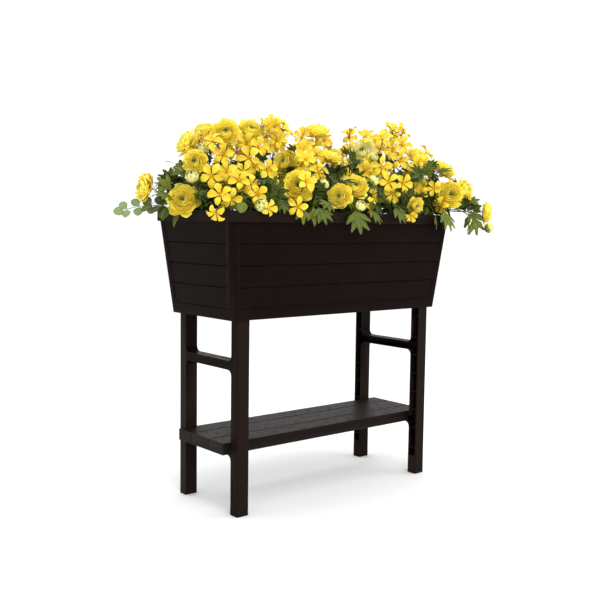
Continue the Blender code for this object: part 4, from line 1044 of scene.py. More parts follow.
def mount(mesh: bpy.types.Mesh, name: str, slot: str, *nodes: str) -> bpy.types.Object:
    """Links a mesh as a piece that rides on the body and replaces its nodes.

    Args:
        mesh: The finished mesh, in place.
        name: Name of the piece.
        slot: Material slot of the record.
        *nodes: Nodes that it replaces.

    Returns:
        The object.
    """
    piece = bpy.data.objects.new(name, mesh)
    bpy.context.scene.collection.objects.link(piece)
    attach(piece, BODY)
    if nodes:
        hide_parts(*nodes)
    triangles = sum(len(face.vertices) - 2 for face in mesh.polygons)
    LOG.info("%s: %d triangles, slot %s", name, triangles, slot)
    return piece


@dataclass
class ResinMoulding:
    """A resin piece: its node's shape with small rounded edges."""

    node: str
    slot: str
    round_over: float = 0.0010

    def build(self, material: bpy.types.Material) -> bpy.types.Object:
        """Copies the node, rounds its sharp edges and dresses it.

        Args:
            material: The resin.

        Returns:
            The piece.
        """
        bm = bmesh.new()
        bm.from_mesh(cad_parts[self.node].data)
        bmesh.ops.remove_doubles(bm, verts=bm.verts[:], dist=5e-6)
        bmesh.ops.dissolve_limit(bm, angle_limit=math.radians(0.8), verts=bm.verts[:],
                                 edges=bm.edges[:])
        sharp = [edge for edge in bm.edges
                 if len(edge.link_faces) == 2 and edge.calc_face_angle(0.0) > math.radians(32)]
        bmesh.ops.bevel(bm, geom=sharp, offset=self.round_over, offset_type="OFFSET", segments=2,
                        profile=0.5, affect="EDGES", clamp_overlap=True, material=-1)
        bmesh.ops.triangulate(bm, faces=[face for face in bm.faces if len(face.verts) > 4])
        for face in bm.faces:
            face.smooth = True
        mesh = bpy.data.meshes.new(self.node + "_rounded")
        bm.to_mesh(mesh)
        bm.free()
        mesh.set_sharp_from_angle(angle=math.radians(40))
        mesh.materials.append(material)
        piece = mount(mesh, self.node + "_rounded", self.slot, self.node)
        weighted = piece.modifiers.new("even_normals", "WEIGHTED_NORMAL")
        weighted.keep_sharp = True
        weighted.weight = 80
        return piece


@dataclass
class SoilFill:
    """The soil: an uneven crumbly top over the trough's filling."""

    columns: int = 150
    rows: int = 62
    crumbs: int = 420
    skirt: float = 0.012

    def build(self, palette: Palette) -> bpy.types.Object:
        """Builds the top, its skirt and loose crumbs.

        Args:
            palette: All materials.

        Returns:
            The piece.
        """
        low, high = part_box("soil")
        half = Vector((min(high.x, INSIDE_HALF.x - 0.001), min(high.y, INSIDE_HALF.y - 0.001)))
        bm = bmesh.new()
        grid = bmesh.ops.create_grid(bm, x_segments=self.columns, y_segments=self.rows, size=1.0)
        for vert in grid["verts"]:
            x, y = vert.co.x * half.x, vert.co.y * half.y
            vert.co = Vector((x, y, self.level(x, y)))
        border = [edge for edge in bm.edges if edge.is_boundary]
        wall = bmesh.ops.extrude_edge_only(bm, edges=border)["geom"]
        for item in wall:
            if isinstance(item, bmesh.types.BMVert):
                item.co = Vector((item.co.x * 0.90, item.co.y * 0.87, low.z + 0.001))
        bottom = [e for e in wall if isinstance(e, bmesh.types.BMEdge) and e.is_boundary]
        bmesh.ops.edgeloop_fill(bm, edges=bottom)
        plant = PlantMesh()
        plant.bodies.append(pattern_from(bm), plant.slot_of(palette.soil))
        rng = random.Random(SEED)
        for _ in range(self.crumbs):
            x, y = rng.uniform(-half.x, half.x) * 0.97, rng.uniform(-half.y, half.y) * 0.95
            size = rng.uniform(0.0012, 0.0034)
            squash = Vector((rng.uniform(0.7, 1.3), rng.uniform(0.7, 1.3), rng.uniform(0.5, 0.9)))
            plant.ball(Vector((x, y, self.level(x, y) + size * 0.2)), size, palette.soil, 0.5,
                       squash=squash)
        return plant.finish("soil_fill", "soil", "soil")

    @staticmethod
    def level(x: float, y: float) -> float:
        """Height of the rough top at a place."""
        lumps = noise.fractal(Vector((x, y, 0)) * 70, 0.9, 2.1, 4)
        return soil_height(x, y) + 0.0022 * lumps - 0.001


class Stems:
    """Routes of all stems, bent round the blooms."""

    def __init__(self) -> None:
        """Sets out every bloom and blossom as a ball that other stems avoid."""
        self.balls: list[tuple[str, Vector, float]] = []
        self.faces: list[tuple[Vector, float, Vector]] = []
        for spot in BLOOMS:
            self.balls.append(("bloom_" + spot.name, Vector(spot.centre) + spot.way * 0.002,
                               spot.radius * 1.02))
            self.faces.append((Vector(spot.centre), spot.radius, spot.way))
        for name, _, blossoms in SPRAYS:
            for centre, radius, heading, tilt in blossoms:
                self.balls.append(("spray_" + name, Vector(centre) + facing(heading, tilt) * 0.004,
                                   radius))
                self.faces.append((Vector(centre), radius, facing(heading, tilt)))
        for centre, radius, heading, tilt in SIDE_BLOSSOMS:
            self.faces.append((Vector(centre), radius, facing(heading, tilt)))
        for plan in LEAFY:
            for centre, radius in plan.buds:
                outward = Vector((centre[0] - plan.crown[0], centre[1] - plan.crown[1], 0.08))
                self.faces.append((Vector(centre), radius * BUD_CLEAR, outward.normalized()))

    @staticmethod
    def lift_over_rim(point: Vector) -> None:
        """Raises a point that would run into the trough's rim."""
        inside = INSIDE_HALF + Vector((0.0019, 0.0019)) - Vector((RIM_CLEARANCE, RIM_CLEARANCE))
        if abs(point.x) > inside.x or abs(point.y) > inside.y:
            point.z = max(point.z, RIM_TOP + RIM_CLEARANCE)

    def bend(self, points: Sequence[Vector], skipped: tuple[str | None, ...],
             margin: float) -> list[Vector]:
        """Moves inner points out of all balls but the skipped, keeping the ends.

        Args:
            points: The route.
            skipped: Owners whose balls don't count.
            margin: Distance kept from each ball.

        Returns:
            The bent route.
        """
        points = [Vector(point) for point in points]
        for _ in range(60):
            for index in range(1, len(points) - 2):
                for name, centre, radius in self.balls:
                    away = points[index] - centre
                    reach = radius + margin
                    if name not in skipped and 1e-6 < away.length < reach:
                        points[index] += away.normalized() * (reach - away.length) * 0.5
                middle = (points[index - 1] + points[index + 1]) / 2
                points[index] = points[index].lerp(middle, 0.10)
                self.lift_over_rim(points[index])
        return points

    def route(self, crown: tuple[float, float], end: Vector, end_way: Vector, owner: str,
              tip: str | None) -> list[Vector]:
        """Route of a stem from its crown to what it carries.

        Args:
            crown: Place of the crown on the soil.
            end: Where the stem ends.
            end_way: Direction at its end.
            owner: Node that it belongs to.
            tip: Node that it carries, if another one.

        Returns:
            The points of the route.
        """
        start = crown_point(crown)
        lean = Vector((end.x - start.x, end.y - start.y, 0)) * 0.5
        start_way = (lean + Vector((0, 0, max(end.z - start.z, 0.05)))).normalized()
        points = arc_points(start, start_way, end, end_way, 3)
        points.insert(-1, end - end_way * 0.012)
        points = self.bend(points, (owner, tip), 0.004)
        for index in range(len(points) - 1):
            self.balls.append((owner, points[index].lerp(points[index + 1], 0.5), 0.003))
        return points

    def free(self, point: Vector, margin: float) -> bool:
        """True where a point is outside every flower and not before its face."""
        for centre, radius, way in self.faces:
            away = point - centre
            ahead = away.dot(way)
            if away.length < radius * 0.85 + margin:
                return False
            if 0 < ahead < FACE_DEPTH and (away - way * ahead).length < radius * 1.05:
                return False
        return True


def crown_point(crown: tuple[float, float]) -> Vector:
    """Where stems leave a crown."""
    return Vector((crown[0], crown[1], soil_height(*crown) + CROWN_RISE * 0.5))


@dataclass(frozen=True)
class Whorl:
    """A ring of petals, in shares of the bloom's radius.

    The petal's midline runs from the axis at height base, past the belly point, to the tip.
    """

    count: int
    base: float
    belly: tuple[float, float]
    tip: tuple[float, float]
    width: float
    ruffle: float
    age: float
    faces: tuple[int, int]


@dataclass
class DoubleBloom:
    """A many-petalled bloom whose petals cup round a greenish heart."""

    spot: BloomSpot
    whorls: tuple[Whorl, ...] = (
        Whorl(6, -0.24, (0.70, -0.34), (1.17, 0.02), 1.12, 0.085, 0.00, (6, 7)),
        Whorl(6, -0.20, (0.86, -0.18), (1.02, 0.33), 1.14, 0.070, 0.06, (6, 7)),
        Whorl(5, -0.16, (0.80, -0.04), (0.85, 0.47), 1.16, 0.050, 0.14, (6, 7)),
        Whorl(5, -0.12, (0.70, 0.06), (0.67, 0.54), 1.04, 0.038, 0.24, (6, 6)),
        Whorl(5, -0.08, (0.62, 0.12), (0.52, 0.57), 0.86, 0.028, 0.34, (5, 5)),
        Whorl(5, -0.05, (0.52, 0.12), (0.39, 0.57), 0.70, 0.022, 0.46, (5, 4)),
        Whorl(5, -0.02, (0.42, 0.12), (0.28, 0.53), 0.54, 0.015, 0.62, (5, 4)),
        Whorl(5, 0.00, (0.32, 0.12), (0.17, 0.49), 0.38, 0.008, 0.80, (4, 3)),
    )
    sepals: int = 5

    def build(self, palette: Palette) -> bpy.types.Object:
        """Builds the bloom with its sepals.

        Args:
            palette: All materials.

        Returns:
            The piece.
        """
        name = "bloom_" + self.spot.name
        rng = draws(name)
        radius = self.spot.radius
        matrix = placed(Vector(self.spot.centre), self.spot.way, rng.uniform(0, 6.28))
        material = palette.pale if self.spot.name == "pale" else palette.petal
        plant = PlantMesh()
        for order, whorl in enumerate(self.whorls):
            turn = order * 0.5 + rng.uniform(-0.08, 0.08)
            for k in range(whorl.count):
                angle = (k + 0.5 + turn) * 2 * math.pi / whorl.count
                place = self.petal(whorl, angle, radius, matrix, rng)
                plant.patch(*whorl.faces, place, material, rng.random(), whorl.age)
        eye = matrix @ Vector((0, 0, radius * 0.34))
        plant.ball(eye, radius * 0.10, material, 1.0, detail=2)
        cup = matrix @ Vector((0, 0, -BLOOM_BACK * 0.55))
        plant.ball(cup, radius * 0.17, palette.leaf, 0.4, detail=2)
        for k in range(self.sepals):
            angle = (k + 0.2) * 2 * math.pi / self.sepals
            plant.patch(4, 2, self.sepal(angle, radius, matrix), palette.leaf, 0.4, 0.3)
        return plant.finish(name + "_petals", "petal", name)

    @staticmethod
    def petal(whorl: Whorl, angle: float, radius: float, matrix: Matrix,
              rng: random.Random) -> BladePlace:
        """Shape of one petal.

        Args:
            whorl: Its ring.
            angle: Its direction round the axis.
            radius: Radius of the bloom.
            matrix: Place of the bloom.
            rng: Draws for its irregular form.

        Returns:
            The function from u and v to a point.
        """
        grow = rng.uniform(0.90, 1.07)
        base = Vector((0.05, whorl.base + 0.02))
        belly = Vector(whorl.belly) * rng.uniform(0.92, 1.06)
        tip = Vector((whorl.tip[0] * grow, whorl.tip[1] + rng.uniform(-0.6, 0.6) * whorl.ruffle))
        seed = Vector((rng.uniform(0, 90), rng.uniform(0, 90), rng.uniform(0, 90)))
        lean = rng.uniform(-0.10, 0.10)

        def place(u: float, v: float) -> Vector:
            """The point at u along and v across."""
            wave = noise.noise(seed + Vector((v * 1.9, u * 0.8, 0)))
            reach, aside = rounded(u, v, 0.42)
            reach *= 1 + 0.07 * wave * u
            line = bezier((base, belly, tip), reach)
            broad = whorl.width * (0.22 + 0.78 * math.sin(min(u / 0.55, 1.0) * math.pi / 2))
            curl = max(line.x, 0.45 * whorl.width)
            swing = aside * broad / 2 / curl
            out = line.x - curl * (1 - math.cos(swing))
            side = curl * math.sin(swing)
            frill = math.sin(v * 5.6 + seed.x) + 1.6 * wave
            rise = line.y + whorl.ruffle * u * u * frill + 0.06 * v * (1 - 0.4 * u)
            turned = angle + lean * u
            spot = Vector((out * math.cos(turned) - side * math.sin(turned),
                           out * math.sin(turned) + side * math.cos(turned), rise))
            return matrix @ (spot * radius)

        return place

    @staticmethod
    def sepal(angle: float, radius: float, matrix: Matrix) -> BladePlace:
        """Shape of one green sepal under the bloom."""

        def place(u: float, v: float) -> Vector:
            """The point at u along and v across."""
            out = radius * (0.10 + 0.42 * u)
            side = radius * 0.13 * v * math.sin(math.pi * min(1.0, 0.25 + 0.75 * u))
            rise = -BLOOM_BACK * 0.6 - radius * 0.10 * math.sin(u * 2.2) - 0.0006
            return matrix @ Vector((out * math.cos(angle) - side * math.sin(angle),
                                    out * math.sin(angle) + side * math.cos(angle), rise))

        return place


@dataclass
class Bud:
    """A half-open bud: pale petals wrapped round a dark point."""

    centre: Vector
    radius: float
    way: Vector

    def add(self, plant: PlantMesh, palette: Palette, rng: random.Random) -> None:
        """Adds the bud to its plant.

        Args:
            plant: Mesh of the plant.
            palette: All materials.
            rng: Draws of the plant.
        """
        matrix = placed(self.centre, self.way, rng.uniform(0, 6.28))
        size = self.radius * BUD_SWELL
        plant.ball(self.centre, size * 0.72, palette.bud, 0.5, detail=2)
        for tier, (count, height, reach) in enumerate(((5, 0.55, 0.98), (5, 0.80, 0.84))):
            for k in range(count):
                angle = (k + tier * 0.5) * 2 * math.pi / count
                plant.patch(5, 4, self.wrap(angle, size, height, reach, matrix), palette.bud,
                            rng.random(), 0.1 + 0.3 * tier)
        plant.ball(matrix @ Vector((0, 0, size * 0.72)), size * 0.22, palette.bud, 1.0)
        for k in range(5):
            angle = (k + 0.3) * 2 * math.pi / 5
            plant.patch(3, 2, self.wrap(angle, size * 1.03, -0.25, 0.97, matrix), palette.leaf,
                        0.3, 0.2)

    @staticmethod
    def wrap(angle: float, size: float, height: float, reach: float, matrix: Matrix) -> BladePlace:
        """Shape of a petal that lies on the bud's round body up to a height."""

        def place(u: float, v: float) -> Vector:
            """The point at u along and v across."""
            low = -0.95
            level = low + (height - low) * u * (1 - 0.15 * v * v)
            ring = math.sqrt(max(0.0, 1 - min(level * level, 0.99))) * reach + 0.02
            swing = v * 0.75 * (1 - 0.35 * u * u)
            return matrix @ (Vector((ring * math.cos(angle + swing),
                                     ring * math.sin(angle + swing), level)) * size)

        return place


@dataclass
class Leaf:
    """A leaf on its stalk, with leaflets cut to the rib."""

    base: Vector
    way: Vector
    length: float
    kind: LeafKind
    roll: float
    outlook: Vector = Vector((0.0, 0.0, 1.0))

    def __post_init__(self) -> None:
        """Works out the leaf's own axes."""
        across = self.way.cross(self.outlook)
        across = across.normalized() if across.length > 1e-4 else Vector((1, 0, 0))
        up = across.cross(self.way).normalized()
        turn = Matrix.Rotation(self.roll, 3, self.way)
        self.across, self.up = turn @ across, turn @ up

    def at(self, along: float, aside: float, rise: float) -> Vector:
        """A point of the leaf in shares of its length."""
        return (self.base + self.way * self.length * along + self.across * self.length * aside
                + self.up * self.length * rise)

    def add(self, plant: PlantMesh, material: bpy.types.Material, rng: random.Random, age: float,
            faces: tuple[int, int] = (6, 4)) -> None:
        """Adds the leaf's leaflets to a plant.

        Args:
            plant: Mesh of the plant.
            material: Material of the leaf.
            rng: Draws for its waves.
            age: 0 for young and light, 1 for old and dark.
            faces: Faces along and across each leaflet.
        """
        chance = rng.random()
        for root, tip, width in LEAFLETS[self.kind]:
            plant.patch(*faces, self.leaflet(root, tip, width, rng), material, chance, age)

    def leaflet(self, root: tuple[float, float], tip: tuple[float, float], width: float,
                rng: random.Random) -> BladePlace:
        """Shape of one leaflet.

        Args:
            root: Its start on the leaf, in shares of the length.
            tip: Its end.
            width: Its greatest width.
            rng: Draws for its waves.

        Returns:
            The function from u and v to a point.
        """
        start, end = Vector(root), Vector(tip)
        run = end - start
        side = Vector((-run.y, run.x)).normalized()
        sway = rng.uniform(-0.03, 0.03)
        seed = Vector((rng.uniform(0, 90), rng.uniform(0, 90), 0))
        toothed = self.kind in (LeafKind.LOBED, LeafKind.TRIDENT)

        def place(u: float, v: float) -> Vector:
            """The point at u along and v across."""
            reach, aside = rounded(u, v, 0.60)
            if self.kind is LeafKind.ROUND:
                reach, aside = rounded(u, v, 0.40)
                half = 0.5 * math.sin(min(1.0, 0.12 + u * 2.2) * math.pi / 2)
            else:
                half = 0.5 * (0.14 + 0.86 * math.sin(min(1.0, u / 0.55) * math.pi / 2))
                half *= 1.0 - 0.45 * max(0.0, (u - 0.6) / 0.4)
            if toothed:
                half *= 1 + 0.20 * abs(v) * math.sin(u * 13.0 + 1.0) * (0.3 + u)
            flat = start + run * reach + side * (aside * half * width + sway * math.sin(u * 3))
            rise = 0.30 * flat.x * (1 - flat.x) - 0.07 * flat.x - 0.16 * flat.y * flat.y
            rise += 0.10 * abs(v) * half * width + 0.02 * noise.noise(seed + Vector((u * 3, v * 2, 0)))
            return self.at(flat.x, flat.y, rise)

        return place


class CadWitness:
    """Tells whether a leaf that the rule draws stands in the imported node."""

    def __init__(self, node: str) -> None:
        """Keeps a search tree of the node's faces."""
        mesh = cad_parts[node].data
        self.tree = BVHTree.FromPolygons([vert.co for vert in mesh.vertices],
                                         [tuple(face.vertices) for face in mesh.polygons])

    def holds(self, points: Iterable[Vector], within: float = 0.0009) -> bool:
        """True where every point lies in or on the node."""
        for point in points:
            _, _, _, distance = self.tree.find_nearest(point)
            if distance is None or distance > within:
                return False
        return True


@dataclass
class LeafyPlant:
    """A leafy plant: stems of the blooms it carries, buds, cut leaves and small stem leaves."""

    plan: LeafyPlan
    stems: Stems
    stem_radius: float = 0.0017
    stalk_radius: float = 0.0009
    fill: int = 24
    cover: int = 40
    routes: list[list[Vector]] = field(default_factory=list)
    buds: list[Bud] = field(default_factory=list)

    @property
    def owner(self) -> str:
        """Name of the node."""
        return "leafy_" + self.plan.name

    def set_out(self) -> None:
        """Routes the stems of its blooms, then of its buds."""
        for spot in BLOOMS:
            if spot.name in self.plan.carried:
                end = Vector(spot.centre) - spot.way * (BLOOM_BACK + GAP)
                self.routes.append(self.stems.route(self.plan.crown, end, spot.way, self.owner,
                                                    "bloom_" + spot.name))
        for centre, radius in self.plan.buds:
            point = Vector(centre)
            way = Vector((point.x - self.plan.crown[0], point.y - self.plan.crown[1], 0.08))
            way.normalize()
            self.routes.append(self.stems.route(self.plan.crown, point - way * radius * 0.5, way,
                                                self.owner, None))
            self.buds.append(Bud(point, radius, way))

    def build(self, palette: Palette) -> bpy.types.Object:
        """Builds the plant.

        Args:
            palette: All materials.

        Returns:
            The piece.
        """
        plant = PlantMesh()
        looks = random.Random(self.owner + " looks")
        self.add_crown(plant, palette)
        for route in self.routes:
            plant.tube(route, self.stem_radius, palette.leaf, 0.75)
        for bud in self.buds:
            bud.add(plant, palette, looks)
        placed_leaves = self.add_leaves(plant, palette, looks)
        extra = self.add_stem_leaves(plant, palette, looks)
        self.add_side_leaves(plant, palette, looks)
        LOG.info("%s: %d leaves of its node, %d stem leaves", self.owner, placed_leaves, extra)
        return plant.finish(self.owner + "_foliage", "leaf", self.owner)

    def add_crown(self, plant: PlantMesh, palette: Palette) -> None:
        """A short knobbly crown at the soil."""
        x, y = self.plan.crown
        level = soil_height(x, y)
        points = [Vector((x, y, level - 0.012)), Vector((x, y, level)), Vector((x, y, level + 0.009))]
        plant.tube(points, 0.0062, palette.leaf, 0.6, sides=4, age=0.7)

    def add_leaves(self, plant: PlantMesh, palette: Palette, looks: random.Random) -> int:
        """Adds the leaves that the node has.

        Args:
            plant: Mesh of the plant.
            palette: All materials.
            looks: Draws for their waves and tone.

        Returns:
            How many there are.
        """
        witness = CadWitness(self.owner)
        rng = draws(self.owner)
        count = 0
        for leaf in RIM_LEAVES:
            if leaf.plant == self.plan.name:
                way = facing(leaf.heading, 90 + leaf.droop)
                count += self.try_leaf(Vector(leaf.base), way, leaf.length, leaf.kind, witness, rng,
                                       plant, palette, looks, looks.uniform(0.20, 0.55), leaf.turn)
        for index in range(self.plan.leaves):
            for _ in range(14):
                turn = index * GOLDEN_ANGLE + rng.uniform(-0.5, 0.5)
                reach, rise = rng.uniform(0.025, 0.075), rng.uniform(0.03, 0.15)
                base = Vector((self.plan.crown[0] + reach * math.cos(turn),
                               self.plan.crown[1] + reach * math.sin(turn), SOIL_TOP + rise))
                way = Vector((math.cos(turn), math.sin(turn), rng.uniform(-0.1, 0.7))).normalized()
                kind = LeafKind.TRIDENT if index % 3 else LeafKind.LONG
                length = rng.uniform(0.046, 0.062)
                if self.try_leaf(base, way, length, kind, witness, rng, plant, palette, looks,
                                 looks.uniform(0.35, 0.95)):
                    count += 1
                    break
        return count

    def try_leaf(self, base: Vector, way: Vector, length: float, kind: LeafKind,
                 witness: CadWitness, rng: random.Random, plant: PlantMesh, palette: Palette,
                 looks: random.Random, age: float, turn: float | None = None) -> bool:
        """Adds one leaf where the node has it, shortened where it would hide a flower.

        Args:
            base: Foot of the blade.
            way: Direction of the blade.
            length: Length of the blade.
            kind: Outline.
            witness: The node.
            rng: The node's own draws.
            plant: Mesh of the plant.
            palette: All materials.
            looks: Draws for waves.
            age: Tone of the leaf.
            turn: Further turn about its midrib, or none for a leaf among the flowers.

        Returns:
            True where it was added.
        """
        start = crown_point(self.plan.crown)
        rise = Vector((base.x - start.x, base.y - start.y, 0)) * 0.35 + Vector((0, 0, 0.05))
        leaf = Leaf(base, way, length, kind, rng.uniform(-0.3, 0.3))
        middle, level = {LeafKind.LONG: (0.52, 0.06), LeafKind.ROUND: (0.30, 0.05),
                         LeafKind.TRIDENT: (0.60, 0.07), LeafKind.LOBED: (0.50, 0.09)}[kind]
        if not witness.holds((base, leaf.at(middle, 0, level), leaf.at(middle * 0.8, 0, level * 0.95))):
            return False
        stalk = arc_points(start, rise.normalized(), base, way, 5, 0.4)
        stalk[-1] = leaf.at(0.06, 0, 0.012)
        if self.crossings(stalk[1:]):
            stalk = self.stalk_to(leaf)
        plant.tube(stalk, self.stalk_radius, palette.leaf, 0.8, steps=2)
        if turn is None:
            while leaf.length > 0.02 and not self.stems.free(leaf.at(1.0, 0, -0.07), 0.0):
                leaf = Leaf(base, way, leaf.length * 0.85, kind, leaf.roll)
        else:
            leaf = Leaf(base, way, length, kind, leaf.roll + turn)
        leaf.add(plant, palette.leaf, looks, age)
        return True

    def add_stem_leaves(self, plant: PlantMesh, palette: Palette, looks: random.Random) -> int:
        """Adds small leaves along the stems, clear of every flower.

        Args:
            plant: Mesh of the plant.
            palette: All materials.
            looks: Draws for their places.

        Returns:
            How many there are.
        """
        count = 0
        for route in self.routes:
            for step in range(11):
                share = 0.14 + 0.075 * step
                index = min(int(share * (len(route) - 1)), len(route) - 2)
                joint = route[index].lerp(route[index + 1], share * (len(route) - 1) - index)
                for _ in range(1 if share < 0.45 else 3):
                    count += self.grow_leaf(plant, joint, (0.006, 0.022), (0.030, 0.048), palette,
                                            looks)
        x, y = self.plan.crown
        for index in range(self.fill):
            turn = index * GOLDEN_ANGLE
            reach = 0.012 + 0.075 * ((index * 0.618) % 1.0)
            joint = Vector((x + reach * math.cos(turn), y + reach * math.sin(turn),
                            SOIL_TOP + 0.035 + 0.14 * ((index * 0.382) % 1.0)))
            count += self.grow_leaf(plant, joint, (0.004, 0.010), (0.044, 0.062), palette, looks)
        for _ in range(self.cover):
            rim = looks.random() < 0.5
            depth = looks.choice((-1, 1)) * (looks.uniform(0.10, 0.14) if rim else looks.uniform(0, 0.1))
            height = looks.uniform(0.018, 0.05) if rim else looks.uniform(0.025, 0.115)
            across = max(-0.31, min(0.35, x + looks.uniform(-0.11, 0.11)))
            joint = Vector((across, depth, SOIL_TOP + height))
            if self.grow_leaf(plant, joint, (0.002, 0.006), (0.050, 0.072), palette, looks):
                foot = Vector((joint.x, joint.y, soil_height(joint.x, joint.y) - 0.004))
                plant.tube([foot, joint], self.stalk_radius, palette.leaf, 0.8, steps=1, age=0.7)
                count += 1
        return count

    def add_side_leaves(self, plant: PlantMesh, palette: Palette, looks: random.Random) -> None:
        """Adds the leaves that show between the flowers and over the rim.

        Args:
            plant: Mesh of the plant.
            palette: All materials.
            looks: Draws for their waves.
        """
        for owner, base, heading, droop, length, kind, tone in SIDE_LEAVES:
            if owner == self.plan.name:
                base = Vector(base)
                way = facing(heading, 90 + droop)
                outward = Vector((base.x * 0.4, base.y - 0.10, 0.0)).normalized()
                leaf = Leaf(base, way, length, LeafKind(kind), looks.uniform(-0.3, 0.3),
                            outward + Vector((0, 0, 0.5)))
                plant.tube(self.stalk_to(leaf), 0.0008, palette.leaf, 0.8, steps=2)
                leaf.add(plant, palette.leaf, looks, tone)

    def crossings(self, points: Sequence[Vector]) -> int:
        """How many of the points lie in a flower or before its face."""
        return sum(not self.stems.free(point, 0.0) for point in points)

    def stalk_to(self, leaf: Leaf) -> list[Vector]:
        """The stalk of a leaf, from the joint whose way to it crosses the fewest flowers.

        Args:
            leaf: The leaf.

        Returns:
            The points of the stalk.
        """
        joints = [crown_point(self.plan.crown)]
        for route in self.routes:
            for first, second in zip(route[:-2], route[1:-1]):
                joints += [first.lerp(second, share) for share in (0.25, 0.5, 0.75)]
        stalks = [arc_points(joint, Vector((0, 0, 1)), leaf.at(0.06, 0, 0.012), leaf.way, 5, 0.3)
                  for joint in joints]
        return min(stalks, key=lambda stalk: (self.crossings(stalk[:-1]),
                                              (stalk[0] - leaf.base).length))

    def grow_leaf(self, plant: PlantMesh, joint: Vector, stalk: tuple[float, float],
                  lengths: tuple[float, float], palette: Palette, looks: random.Random) -> bool:
        """Grows one leaf from a joint where a drawn place is free.

        Args:
            plant: Mesh of the plant.
            joint: Where the leaf starts.
            stalk: Shortest and longest stalk.
            lengths: Shortest and longest blade.
            palette: All materials.
            looks: Draws for its place and tone.

        Returns:
            True where it was added.
        """
        for _ in range(8):
            steep = looks.uniform(20, 70) if looks.random() < 0.6 else looks.uniform(95, 150)
            way = facing(looks.uniform(0, 360), steep)
            base = joint + way * looks.uniform(*stalk)
            length = looks.uniform(*lengths) * (0.68 if base.z > HIGH_LEAVES else 1.0)
            outward = Vector((base.x - self.plan.crown[0], base.y - self.plan.crown[1], 0.02))
            outlook = outward.normalized() + Vector((0, 0, looks.uniform(0.1, 0.9)))
            kind = LeafKind.LOBED if looks.random() < 0.7 else LeafKind.TRIDENT
            leaf = Leaf(base, way, length, kind, looks.uniform(-0.5, 0.5), outlook)
            edge = [leaf.at(*spot, 0.04) for spot in ((0, 0), (0.5, 0.3), (0.5, -0.3), (1, 0))]
            if all(self.stems.free(point, 0.001) and self.inside(point) for point in edge):
                plant.tube([joint, leaf.at(0.06, 0, 0.012)], 0.0007, palette.leaf, 0.8, steps=1)
                leaf.add(plant, palette.leaf, looks, looks.uniform(0.30, 1.0), (4, 3))
                return True
        return False

    @staticmethod
    def inside(point: Vector) -> bool:
        """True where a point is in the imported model's box and clear of the trough."""
        low, high = CAD_BOX
        if not all(low[axis] + 0.003 < point[axis] < high[axis] - 0.003 for axis in range(3)):
            return False
        outside = abs(point.x) > 0.372 or abs(point.y) > 0.150
        return point.z > (RIM_TOP + 0.006 if outside else SOIL_TOP + 0.008)


